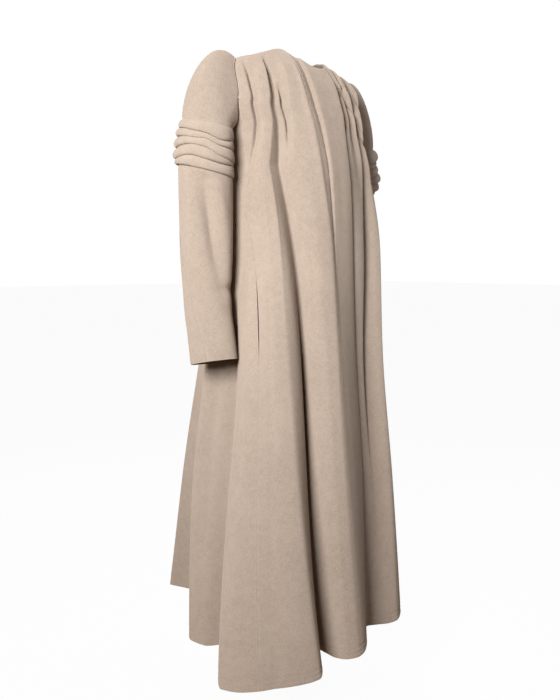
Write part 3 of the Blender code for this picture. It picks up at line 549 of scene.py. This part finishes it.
def mean_step(points, axis, closed):
    """The mean of the directions before and after each point: shorter where the line turns more."""
    step = np.diff(points, axis=axis)
    if closed:
        step = np.concatenate([step, points[:1] - points[-1:]])
    step = unit(step)
    if closed:
        return 0.5 * (step + np.roll(step, 1, axis=axis))
    ends = np.take(step, [0, -1], axis=axis)
    before = np.concatenate([np.take(ends, [0], axis=axis), step], axis=axis)
    after = np.concatenate([step, np.take(ends, [1], axis=axis)], axis=axis)
    return 0.5 * (before + after)


def grid_normals(points, toward, closed=False):
    """Normals of a grid of points, columns by rows, on the side that faces out."""
    across = mean_step(points, 0, closed)
    normal = unit(np.cross(mean_step(points, 1, False), across))
    normal = normal * math.copysign(1.0, np.sum(normal * toward))
    return normal / np.maximum(np.linalg.norm(across, axis=-1, keepdims=True), LEAST_MITRE)


def open_seams(points, first, last):
    """Draw the top edge and the sewn side edges back by half a seam gap and half a pocket mouth."""
    points = points.copy()
    for edge, inner, gape in ((0, 2, first), (-1, -3, last)):
        if gape is not None:
            step = points[inner] - points[edge]
            down = (points[edge, :, 2:] - POCKET_TOP) / (POCKET_BOTTOM - POCKET_TOP)
            mouth = gape * np.sin(np.pi * np.clip(down, 0.0, 1.0))
            near = np.linalg.norm(points - points[edge], axis=-1, keepdims=True)
            pull = unit(step) * 0.5 * (SEAM_GAP + mouth)
            points = points + pull * ease(1.0 - near / POCKET_REACH)
    points[:, 0] += unit(points[:, 2] - points[:, 0]) * 0.5 * SEAM_GAP
    return points


def edge_dips(across, down, seams, frees):
    """How far the wool sinks beside sewn edges and rounds off at free ones."""
    dip = np.zeros(across.shape)
    gap = {"first": across, "last": across[-1:] - across,
           "top": down, "bottom": down[:, -1:] - down}
    for name in seams:
        dip = np.maximum(dip, SEAM_DIP * np.exp(-(gap[name] / SEAM_SOFT) ** 2))
    for name in frees:
        dip = np.maximum(dip, EDGE_DIP * np.exp(-(gap[name] / EDGE_SOFT) ** 2))
    return dip


def grid_faces(columns, rows, closed, start, flip):
    """Four-sided faces over a grid of points."""
    c = np.arange(columns if closed else columns - 1)[:, None]
    r = np.arange(rows - 1)[None, :]
    d = (c + 1) % columns
    corners = (c * rows + r, c * rows + r + 1, d * rows + r + 1, d * rows + r)
    faces = np.stack(corners, axis=-1).reshape(-1, 4)
    return (faces[:, ::-1] if flip else faces) + start


def rim_faces(columns, rows, closed, count):
    """Faces that join the outer and inner grids along their edges."""
    top = np.arange(columns) * rows
    bottom = top + rows - 1
    if closed:
        loops = [top, bottom[::-1]]
    else:
        first = np.arange(1, rows - 1)
        last = (columns - 1) * rows + first
        loops = [np.concatenate([top, last, bottom[::-1], first[::-1]])]
    faces = []
    for loop in loops:
        there = np.roll(loop, -1)
        faces.append(np.stack([loop, there, there + count, loop + count], axis=-1))
    return np.concatenate(faces)


def mesh_piece(name, corners, faces, material):
    """A mesh piece with smooth shading and the wool on it, riding on the coat."""
    mesh = bpy.data.meshes.new(name)
    mesh.from_pydata(corners.tolist(), [], faces.tolist())
    mesh.shade_smooth()
    mesh.materials.append(material)
    piece = bpy.data.objects.new(name, mesh)
    bpy.context.scene.collection.objects.link(piece)
    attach(piece, "root")
    return piece


def cloth_piece(name, points, normal, dip, free_dip, closed, material):
    """A cloth shell: its outer face, its inner face a wall's thickness in, and the rims between."""
    columns, rows = points.shape[:2]
    count = columns * rows
    outer = points - normal * dip[..., None]
    inner = points - normal * (WALL - free_dip)[..., None]
    down, across = outer[0, 1] - outer[0, 0], outer[1, 0] - outer[0, 0]
    flip = np.sum(np.cross(down, across) * normal[0, 0]) < 0
    faces = [grid_faces(columns, rows, closed, 0, flip),
             grid_faces(columns, rows, closed, count, not flip)]
    rims = rim_faces(columns, rows, closed, count)
    faces.append(rims if flip else rims[:, ::-1])
    corners = np.concatenate([outer.reshape(-1, 3), inner.reshape(-1, 3)])
    piece = mesh_piece(name, corners, np.concatenate(faces), material)
    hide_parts(name)
    return piece, outer


def stitch_row(line, out):
    """Corners and faces of one row of stitches laid along a line."""
    run = run_along(line)
    starts = np.arange(STITCH_PITCH, run[-1] - STITCH_PITCH, STITCH_PITCH)
    rise = np.array(ARCH_RISES) * STITCH_RADIUS
    stops = starts[:, None] + STITCH_LENGTH * np.array(ARCH_SHARES)[None, :]
    middle = at_stops(line, run, stops)
    up = unit(at_stops(out, run, stops))
    along = unit(np.gradient(middle, axis=1))
    side = unit(np.cross(along, up))
    middle = middle + up * rise[None, :, None]
    angle = 2.0 * np.pi * np.arange(STITCH_SIDES)[:, None] / STITCH_SIDES
    circle = side[:, :, None] * np.cos(angle) + up[:, :, None] * np.sin(angle)
    corners = (middle[:, :, None] + circle * STITCH_RADIUS).reshape(-1, 3)
    stations = len(ARCH_SHARES)
    stitch = np.arange(len(starts))[:, None, None] * stations * STITCH_SIDES
    here = stitch + np.arange(stations - 1)[None, :, None] * STITCH_SIDES
    there = here + STITCH_SIDES
    i = np.arange(STITCH_SIDES)[None, None, :]
    k = (i + 1) % STITCH_SIDES
    faces = np.stack([here + i, here + k, there + k, there + i], axis=-1)
    return corners, faces.reshape(-1, 4)


def hem_stitches(name, outer, away, material):
    """Both stitched rows above a panel's hem as one piece."""
    corners = []
    faces = []
    count = 0
    for height in STITCHED:
        row = outer.shape[1] - len(HEM_STOPS) + HEM_STOPS.index(height)
        more, its_faces = stitch_row(outer[:, row], away[:, row])
        corners.append(more)
        faces.append(its_faces + count)
        count += len(more)
    return mesh_piece(name, np.concatenate(corners), np.concatenate(faces), material)


def ring(level, turn, grow=0.0):
    """Points round the right sleeve: turn 0 faces front, 90 out, 180 back."""
    value = {name: by_level(RING_COLUMNS, RINGS, name, level) for name in RING_COLUMNS[1:]}
    angle = np.radians(turn)
    out = (value["half_width"] + grow) * np.sin(angle)
    rear = -(value["half_depth"] + grow) * np.cos(angle)
    height = level + value["slope_out"] * out + value["slope_rear"] * rear
    across = -(value["out"] + out)
    return np.stack(np.broadcast_arrays(across, value["rear"] + rear, height), axis=-1)


def tucked_band(turn):
    """The band round the upper sleeve: rolled tucks that hang over each other."""
    edges = table(TUCK_COLUMNS, TUCK_EDGES)
    around = np.mod(turn - edges["turn"][0], WHOLE_TURN) + edges["turn"][0]
    ends = [smooth_through(around, edges["turn"], edges[name]) for name in TUCK_COLUMNS[1:]]
    ends = [np.zeros(len(turn))] + ends + [np.ones(len(turn))]
    from_body = 0.5 + 0.5 * np.sin(np.radians(turn))
    side = TUCK_INNER_SHARE + (1.0 - TUCK_INNER_SHARE) * ease(from_body / TUCK_INNER_REACH)
    swells = named_rows(TUCK_SWELL_COLUMNS, TUCK_SWELLS)
    rows = []
    for k, (height, swell) in enumerate(zip(TUCK_HEIGHTS, swells)):
        tall = ends[k + 1] - ends[k]
        uneven = 1.0 + swell["share"] * np.sin(np.radians(swell["waves"] * turn + swell["phase"]))
        stand = height * side * uneven * np.minimum(1.0, np.sqrt(tall / TUCK_USUAL_SHARE))
        last = k == len(TUCK_HEIGHTS) - 1
        for t in np.linspace(0.0, 1.0, TUCK_ROWS + 1)[:None if last else -1]:
            bulge = math.sin(math.pi * t)
            share = ends[k] + tall * (t + TUCK_ROLL * bulge * t)
            level = BAND_TOP + (BAND_BOTTOM - BAND_TOP) * share
            rows.append(ring(level, turn, stand * max(bulge, 0.0) ** TUCK_ROUNDNESS))
    return np.stack(rows, axis=1)


def drape(level, turn):
    """How far the lower sleeve sinks in soft hollows or stands out in ridges."""
    half_width = by_level(RING_COLUMNS, RINGS, "half_width", level)
    sink = np.zeros(np.shape(turn))
    for fold in named_rows(DRAPE_COLUMNS, DRAPES):
        off = np.mod(turn - fold["turn"] + BACK_TURN, WHOLE_TURN) - BACK_TURN
        across = np.radians(off) * half_width - fold["lean"] * (level - fold["level"])
        down = (level - fold["level"]) / fold["length"]
        sink = sink + fold["depth"] * np.exp(-(across / fold["width"]) ** 2 - down ** 2)
    below_band = ease((BAND_BOTTOM - level) / DRAPE_TOP_FADE)
    above_cuff = ease((level - CUFF_LEVEL) / DRAPE_CUFF_FADE)
    return sink * below_band * above_cuff


def puffed_cap(loop, turn):
    """The sleeve head: rows that rise out of the armhole loop and fall to the top of the band."""
    share = np.linspace(0.0, 1.0, CAP_ROWS + 1)[None, :, None]
    end = ring(BAND_TOP, turn)
    reach = np.linalg.norm(end - loop, axis=1, keepdims=True)
    up = np.clip(np.sin(np.radians(turn)), 0.0, 1.0)[:, None]
    front = np.cos(np.radians(turn))[:, None]
    way = unit(np.concatenate([-(CAP_OUT_LOW + (1 - CAP_OUT_LOW) * up), -CAP_SPREAD * front,
                               CAP_RISE * up - CAP_SINK * (1 - up)], axis=1))
    leave = (way * reach * CAP_FULLNESS)[:, None, :]
    arrive = (np.array([[0.0, 0.0, -1.0]]) * reach * CAP_FALL)[:, None, :]
    begin = (loop + way * SEAM_GAP)[:, None, :]
    end = (end + np.array([0.0, 0.0, SEAM_GAP]))[:, None, :]
    s2, s3 = share ** 2, share ** 3
    return (begin * (2 * s3 - 3 * s2 + 1) + leave * (s3 - 2 * s2 + share)
            + end * (3 * s2 - 2 * s3) + arrive * (s3 - s2))


def lower_panels():
    """The outer and the under sleeve, each from one sleeve seam to the other."""
    level = np.linspace(BAND_BOTTOM - SEAM_GAP, CUFF_LEVEL, SLEEVE_ROWS + 1)
    rear = by_level(SEAM_COLUMNS, SLEEVE_SEAMS, "rear_seam", level)
    inner = by_level(SEAM_COLUMNS, SLEEVE_SEAMS, "inner_seam", level)
    half_gap = np.degrees(0.5 * SEAM_GAP / by_level(RING_COLUMNS, RINGS, "half_width", level))
    across = np.linspace(0.0, 1.0, SLEEVE_COLUMNS + 1)
    panels = []
    for first, last in ((inner - WHOLE_TURN, rear), (rear, inner)):
        rows = []
        for k, height in enumerate(level):
            turns = first[k] + half_gap[k] + (last[k] - first[k] - 2 * half_gap[k]) * across
            rows.append(ring(height, turns, -drape(height, turns)))
        panels.append(np.stack(rows, axis=1))
    return panels


def sleeve_sheets(loop, turn, out_sign):
    """Cap, band, outer and under sleeve of one side, from its armhole loop."""
    flip = np.array([out_sign, 1.0, 1.0])
    lower = np.array([0.0, 0.0, LEFT_DROP if out_sign < 0 else 0.0])
    sheets = (puffed_cap(loop * flip + lower, turn), tucked_band(turn), *lower_panels())
    return [(points - lower) * flip for points in sheets]


def armhole(edges, places, mirrored):
    """An armhole's points and their turns round the sleeve, from its panels' top edges."""
    points = np.concatenate(edges)
    place = np.concatenate(places)
    local = WHOLE_ROUND - place if mirrored else place
    loop = []
    turn = []
    for k in np.argsort(local, kind="stable"):
        if local[k] < SHOULDER_END - PLACE_SLACK or local[k] > BACK_SHOULDER_END - PLACE_SLACK:
            continue
        here = SIDE_TURN - BACK_TURN * (local[k] - SHOULDER_END)
        if turn and abs(here - turn[-1]) < PLACE_SLACK:
            continue
        loop.append(points[k])
        turn.append(here)
    return np.array(loop), np.array(turn)


def from_sleeve(points):
    """Level directions away from the middle of the sleeve."""
    value = {name: by_level(RING_COLUMNS, RINGS, name, points[..., 2]) for name in ("out", "rear")}
    away = np.zeros(points.shape)
    away[..., 0] = points[..., 0] - np.copysign(value["out"], points[..., 0])
    away[..., 1] = points[..., 1] - value["rear"]
    return unit(away)


# Wool: colours in linear light, and their places on the ramp of tones
WOOL_LIGHT = (0.500, 0.410, 0.341, 1.0)
WOOL_MID = (0.430, 0.349, 0.286, 1.0)
WOOL_DARK = (0.330, 0.262, 0.212, 1.0)
LIGHT_TONE = 0.64
MID_TONE = 0.50
DARK_TONE = 0.36
# Grains of the wool: noise scale per metre and detail, then the share of the second in each mix
NAP = (1100.0, 2.0)
PEBBLE = (420.0, 3.0)
MOTTLE = (75.0, 3.0)
BROAD = (7.0, 2.0)
GRAIN_ROUGHNESS = 0.6
NAP_SHARE = 0.45
BROAD_SHARE = 0.5
MOTTLE_SHARE = 0.30
WOOL_ROUGHNESS = 0.95
WOOL_SCATTER = 0.6
WOOL_GLOSS = 0.15
SHEEN_WEIGHT = 0.22
SHEEN_ROUGHNESS = 0.45
SHEEN_TINT = (0.95, 0.82, 0.71, 1.0)
BUMP_STRENGTH = 0.55
BUMP_DISTANCE = 0.0011


def noise(tree, coordinates, scale, detail):
    """A noise texture of a given grain on the coat's own coordinates."""
    node = tree.nodes.new("ShaderNodeTexNoise")
    node.inputs["Scale"].default_value = scale
    node.inputs["Detail"].default_value = detail
    node.inputs["Roughness"].default_value = GRAIN_ROUGHNESS
    tree.links.new(coordinates, node.inputs["Vector"])
    return node.outputs["Fac"]


def blend(tree, factor, first, second):
    """A mix of two values or sockets by a factor."""
    node = tree.nodes.new("ShaderNodeMix")
    node.data_type = "FLOAT"
    sockets = (node.inputs[0], node.inputs[2], node.inputs[3])
    for socket, value in zip(sockets, (factor, first, second)):
        if isinstance(value, (int, float)):
            socket.default_value = value
        else:
            tree.links.new(value, socket)
    return node.outputs[0]


def wool_material():
    """Thick napped wool: pebbled grain, a fine nap, soft mottling and a woollen sheen."""
    material = bpy.data.materials.new("napped_wool")
    material.use_nodes = True
    tree = material.node_tree
    shader = tree.nodes["Principled BSDF"]
    shader.inputs["Roughness"].default_value = WOOL_ROUGHNESS
    shader.inputs["Diffuse Roughness"].default_value = WOOL_SCATTER
    shader.inputs["Specular IOR Level"].default_value = WOOL_GLOSS
    shader.inputs["Sheen Weight"].default_value = SHEEN_WEIGHT
    shader.inputs["Sheen Roughness"].default_value = SHEEN_ROUGHNESS
    shader.inputs["Sheen Tint"].default_value = SHEEN_TINT
    coordinates = tree.nodes.new("ShaderNodeTexCoord").outputs["Object"]
    nap = noise(tree, coordinates, *NAP)
    pebble = noise(tree, coordinates, *PEBBLE)
    mottle = noise(tree, coordinates, *MOTTLE)
    broad = noise(tree, coordinates, *BROAD)
    grain = blend(tree, NAP_SHARE, pebble, nap)
    tone = blend(tree, MOTTLE_SHARE, grain, blend(tree, BROAD_SHARE, mottle, broad))
    ramp = tree.nodes.new("ShaderNodeValToRGB")
    tones = ramp.color_ramp.elements
    tones[0].position = DARK_TONE
    tones[0].color = WOOL_DARK
    tones[1].position = LIGHT_TONE
    tones[1].color = WOOL_LIGHT
    tones.new(MID_TONE).color = WOOL_MID
    tree.links.new(tone, ramp.inputs["Fac"])
    tree.links.new(ramp.outputs["Color"], shader.inputs["Base Color"])
    bump = tree.nodes.new("ShaderNodeBump")
    bump.inputs["Strength"].default_value = BUMP_STRENGTH
    bump.inputs["Distance"].default_value = BUMP_DISTANCE
    tree.links.new(grain, bump.inputs["Height"])
    tree.links.new(bump.outputs["Normal"], shader.inputs["Normal"])
    return material


# The cut of each piece: width and length of its flat rectangle and its area, in metres
CUT_COLUMNS = ("piece", "width", "length", "area", "held", "rests_on")
CUTS = (
    ("front_right", 0.46, 1.29, 0.48, "gathered", ("back_right", "front_left")),
    ("front_left", 0.26, 1.26, 0.26, "gathered", ("back_left",)),
    ("back_right", 0.83, 1.28, 0.58, "gathered", ("front_right", "back_left")),
    ("back_left", 0.69, 1.29, 0.50, "gathered", ("front_left", "back_right")),
    ("sleeve_cap", 0.42, 0.19, 0.042, "gathered", ("front", "back")),
    ("sleeve_band", 0.42, 0.16, 0.055, "gathered", ("sleeve_cap",)),
    ("sleeve_outer", 0.19, 0.40, 0.051, "hung", ("sleeve_band",)),
    ("sleeve_under", 0.24, 0.42, 0.080, "hung", ("sleeve_band",)),
)


def declare(pieces, stitches):
    """Go through the cut of each built piece of cloth; nothing is stated or done with it."""
    for cut in named_rows(CUT_COLUMNS, CUTS):
        for side in ("", "_right", "_left"):
            name = cut["piece"] + side
            if name not in pieces:
                continue


# Body panels: folds, stretch of the top edge, and how far each side seam gapes, none where free
PANELS = (
    ("front_right", FRONT_RIGHT, -SIDE_NECK, UNDERARM_RIGHT, None, POCKET_GAPE),
    ("back_right", BACK, UNDERARM_RIGHT, BACK_PLACE, POCKET_GAPE, 0.0),
    ("back_left", BACK, BACK_PLACE, UNDERARM_LEFT, 0.0, POCKET_GAPE),
    ("front_left", FRONT_LEFT, UNDERARM_LEFT, WHOLE_ROUND, POCKET_GAPE, None),
)
SLEEVE_PARTS = ("sleeve_cap", "sleeve_band", "sleeve_outer", "sleeve_under")
SLEEVE_RINGS = ("sleeve_cap", "sleeve_band")


def body_panel(name, rows, start, end, first, last, material):
    """One panel of the body and its hem stitches, with its top edge and the places along it."""
    at = np.arange((len(rows) - 1) * FOLD_STEPS + 1) / FOLD_STEPS
    places = fold_values(rows, at)["place"]
    at = at[(places > start - PLACE_SLACK) & (places < end + PLACE_SLACK)]
    sheet, away, place = body_sheet(rows, at)
    points = open_seams(press_creases(sheet, away, rows, at), first, last)
    normal = grid_normals(points, away)
    normal[:, 0] = away[:, 0]
    seams = ["top"]
    frees = ["bottom"]
    for edge, label, gape in ((0, "first", first), (-1, "last", last)):
        if gape is None:
            frees.append(label)
        else:
            seams.append(label)
            normal[edge] = away[edge]
    across, down = run_along(points, 0), run_along(points, 1)
    dip = edge_dips(across, down, seams, frees)
    from_hem = down[:, -1:] - down
    for height in STITCHED:
        sink = STITCH_SINK * np.exp(-((from_hem - height) / STITCH_SPREAD) ** 2)
        dip = np.maximum(dip, sink)
    free_dip = edge_dips(across, down, [], frees)
    piece, outer = cloth_piece(name, points, normal, dip, free_dip, False, material)
    stitches = hem_stitches(f"hem_stitches_{name}", outer, away, material)
    return piece, stitches, sheet[:, 0], place


def sleeve_piece(part, side, points, material):
    """One piece of a sleeve: the cap and band close into rings, the lower two are sewn together."""
    closed = part in SLEEVE_RINGS
    toward = from_sleeve(points)
    normal = grid_normals(points, toward, closed) if part == "sleeve_cap" else toward
    across, down = run_along(points, 0), run_along(points, 1)
    seams = ["top", "bottom"] if closed else ["top", "first", "last"]
    frees = [] if closed else ["bottom"]
    dip = edge_dips(across, down, seams, frees)
    free_dip = edge_dips(across, down, [], frees)
    return cloth_piece(f"{part}_{side}", points, normal, dip, free_dip, closed, material)[0]


def build_coat(material):
    """Every piece of the coat, and the hem stitches of its body."""
    pieces = {}
    stitches = {}
    edge = {}
    place = {}
    for name, *cut in PANELS:
        pieces[name], stitches[name], edge[name], place[name] = body_panel(name, *cut, material)
    for side, mirrored in (("right", False), ("left", True)):
        front, back = f"front_{side}", f"back_{side}"
        loop, turn = armhole((edge[front], edge[back]), (place[front], place[back]), mirrored)
        sheets = sleeve_sheets(loop, turn, -1.0 if mirrored else 1.0)
        for part, points in zip(SLEEVE_PARTS, sheets):
            pieces[f"{part}_{side}"] = sleeve_piece(part, side, points, material)
    return pieces, stitches


# Camera: on the coat's right front, a little above its waist, looking down
VIEW_TURN = 40.0
VIEW_DISTANCE = 1.80
VIEW_SIDE = 0.02925
VIEW_LEVEL = -0.44866
VIEW_TILT = 6.277
LENS = 40.0
SENSOR_HEIGHT = 35.0
FLOOR_LEVEL = -1.43
FLOOR_SIZE = 60.0
# Soft lights: degrees to the camera's left and up, distance from the point they aim at, width,
# how wide they spread in degrees, and power
LIGHT_COLUMNS = ("name", "left", "rise", "distance", "size", "spread", "power")
LIGHTS = (
    ("key", 20.0, 12.0, 2.2, 0.8, 115.0, 30.0),
    ("second", -42.0, 12.0, 1.80, 0.8, 180.0, 4.5),
    ("side", -118.0, 18.0, 2.20, 0.9, 180.0, 12.0),
    ("back", 158.0, 24.0, 2.20, 0.9, 180.0, 24.0),
)
LIGHT_AIM = -0.33
FILL_STRENGTH = 0.05
FILL_COLOUR = (1.0, 0.62, 0.40, 1.0)
BACKGROUND_COLOUR = (1.0, 1.0, 1.0, 1.0)
BACKGROUND_STRENGTH = 1.0
FLOOR_COLOUR = (0.95, 0.95, 0.95, 1.0)
FLOOR_GLOW = 0.96
FLOOR_BOUNCE = (0.28, 0.19, 0.13, 1.0)


def make_camera():
    """The camera, and the level directions towards it and to its right."""
    turn, tilt = math.radians(VIEW_TURN), math.radians(VIEW_TILT)
    toward = Vector((-math.sin(turn), -math.cos(turn), 0.0))
    right = Vector((math.cos(turn), -math.sin(turn), 0.0))
    data = bpy.data.cameras.new("camera")
    data.sensor_fit = "VERTICAL"
    data.sensor_height = SENSOR_HEIGHT
    data.lens = LENS
    camera = bpy.data.objects.new("camera", data)
    camera.location = toward * VIEW_DISTANCE - right * VIEW_SIDE + Vector((0.0, 0.0, VIEW_LEVEL))
    look = -toward * math.cos(tilt) - Vector((0.0, 0.0, math.sin(tilt)))
    camera.rotation_mode = "QUATERNION"
    camera.rotation_quaternion = look.to_track_quat("-Z", "Y")
    bpy.context.scene.collection.objects.link(camera)
    bpy.context.scene.camera = camera
    return toward, right


def area_light(light, place, target):
    """A soft square light aimed at a point."""
    data = bpy.data.lights.new(light["name"], "AREA")
    data.shape = "SQUARE"
    data.size = light["size"]
    data.spread = math.radians(light["spread"])
    data.energy = light["power"]
    lamp = bpy.data.objects.new(light["name"], data)
    lamp.location = place
    lamp.rotation_mode = "QUATERNION"
    lamp.rotation_quaternion = (target - place).to_track_quat("-Z", "Y")
    lamp.visible_camera = False
    bpy.context.scene.collection.objects.link(lamp)


def by_ray(tree, lit, seen, output):
    """One shader for the light that reaches the coat, and another where the stage is seen."""
    either = tree.nodes.new("ShaderNodeMixShader")
    path = tree.nodes.new("ShaderNodeLightPath")
    tree.links.new(path.outputs["Is Camera Ray"], either.inputs["Fac"])
    tree.links.new(lit, either.inputs[1])
    tree.links.new(seen, either.inputs[2])
    tree.links.new(either.outputs["Shader"], output.inputs["Surface"])


def make_lights(toward, right):
    """Soft lights round the coat."""
    aim = Vector((0.0, 0.0, LIGHT_AIM))
    for light in named_rows(LIGHT_COLUMNS, LIGHTS):
        turn, rise = math.radians(light["left"]), math.radians(light["rise"])
        level = toward * math.cos(turn) - right * math.sin(turn)
        way = level * math.cos(rise) + Vector((0.0, 0.0, math.sin(rise)))
        area_light(light, aim + way * light["distance"], aim)


def make_surround():
    """A white surround that lights the coat only faintly."""
    world = bpy.data.worlds.new("studio")
    world.use_nodes = True
    tree = world.node_tree
    fill = tree.nodes["Background"]
    fill.inputs["Color"].default_value = FILL_COLOUR
    fill.inputs["Strength"].default_value = FILL_STRENGTH
    seen = tree.nodes.new("ShaderNodeBackground")
    seen.inputs["Color"].default_value = BACKGROUND_COLOUR
    seen.inputs["Strength"].default_value = BACKGROUND_STRENGTH
    by_ray(tree, fill.outputs["Background"], seen.outputs["Background"], tree.nodes["World Output"])
    bpy.context.scene.world = world


def make_floor():
    """A pale floor that looks evenly lit and throws little light on the coat."""
    half = 0.5 * FLOOR_SIZE
    mesh = bpy.data.meshes.new("floor")
    signs = ((-1, -1), (1, -1), (1, 1), (-1, 1))
    corners = [(half * x, half * y, FLOOR_LEVEL) for x, y in signs]
    mesh.from_pydata(corners, [], [(0, 1, 2, 3)])
    paint = bpy.data.materials.new("pale_floor")
    paint.use_nodes = True
    tree = paint.node_tree
    tree.nodes.remove(tree.nodes["Principled BSDF"])
    pale = tree.nodes.new("ShaderNodeBsdfDiffuse")
    pale.inputs["Color"].default_value = FLOOR_COLOUR
    glow = tree.nodes.new("ShaderNodeEmission")
    seen = tree.nodes.new("ShaderNodeMixShader")
    seen.inputs["Fac"].default_value = FLOOR_GLOW
    tree.links.new(pale.outputs["BSDF"], seen.inputs[1])
    tree.links.new(glow.outputs["Emission"], seen.inputs[2])
    dull = tree.nodes.new("ShaderNodeBsdfDiffuse")
    dull.inputs["Color"].default_value = FLOOR_BOUNCE
    by_ray(tree, dull.outputs["BSDF"], seen.outputs["Shader"], tree.nodes["Material Output"])
    mesh.materials.append(paint)
    floor = bpy.data.objects.new("floor", mesh)
    bpy.context.scene.collection.objects.link(floor)


def make_studio():
    """The camera, the lights and the stage, shown in plain colours."""
    make_lights(*make_camera())
    make_surround()
    make_floor()
    bpy.context.scene.view_settings.view_transform = "Standard"


make_studio()
declare(*build_coat(wool_material()))
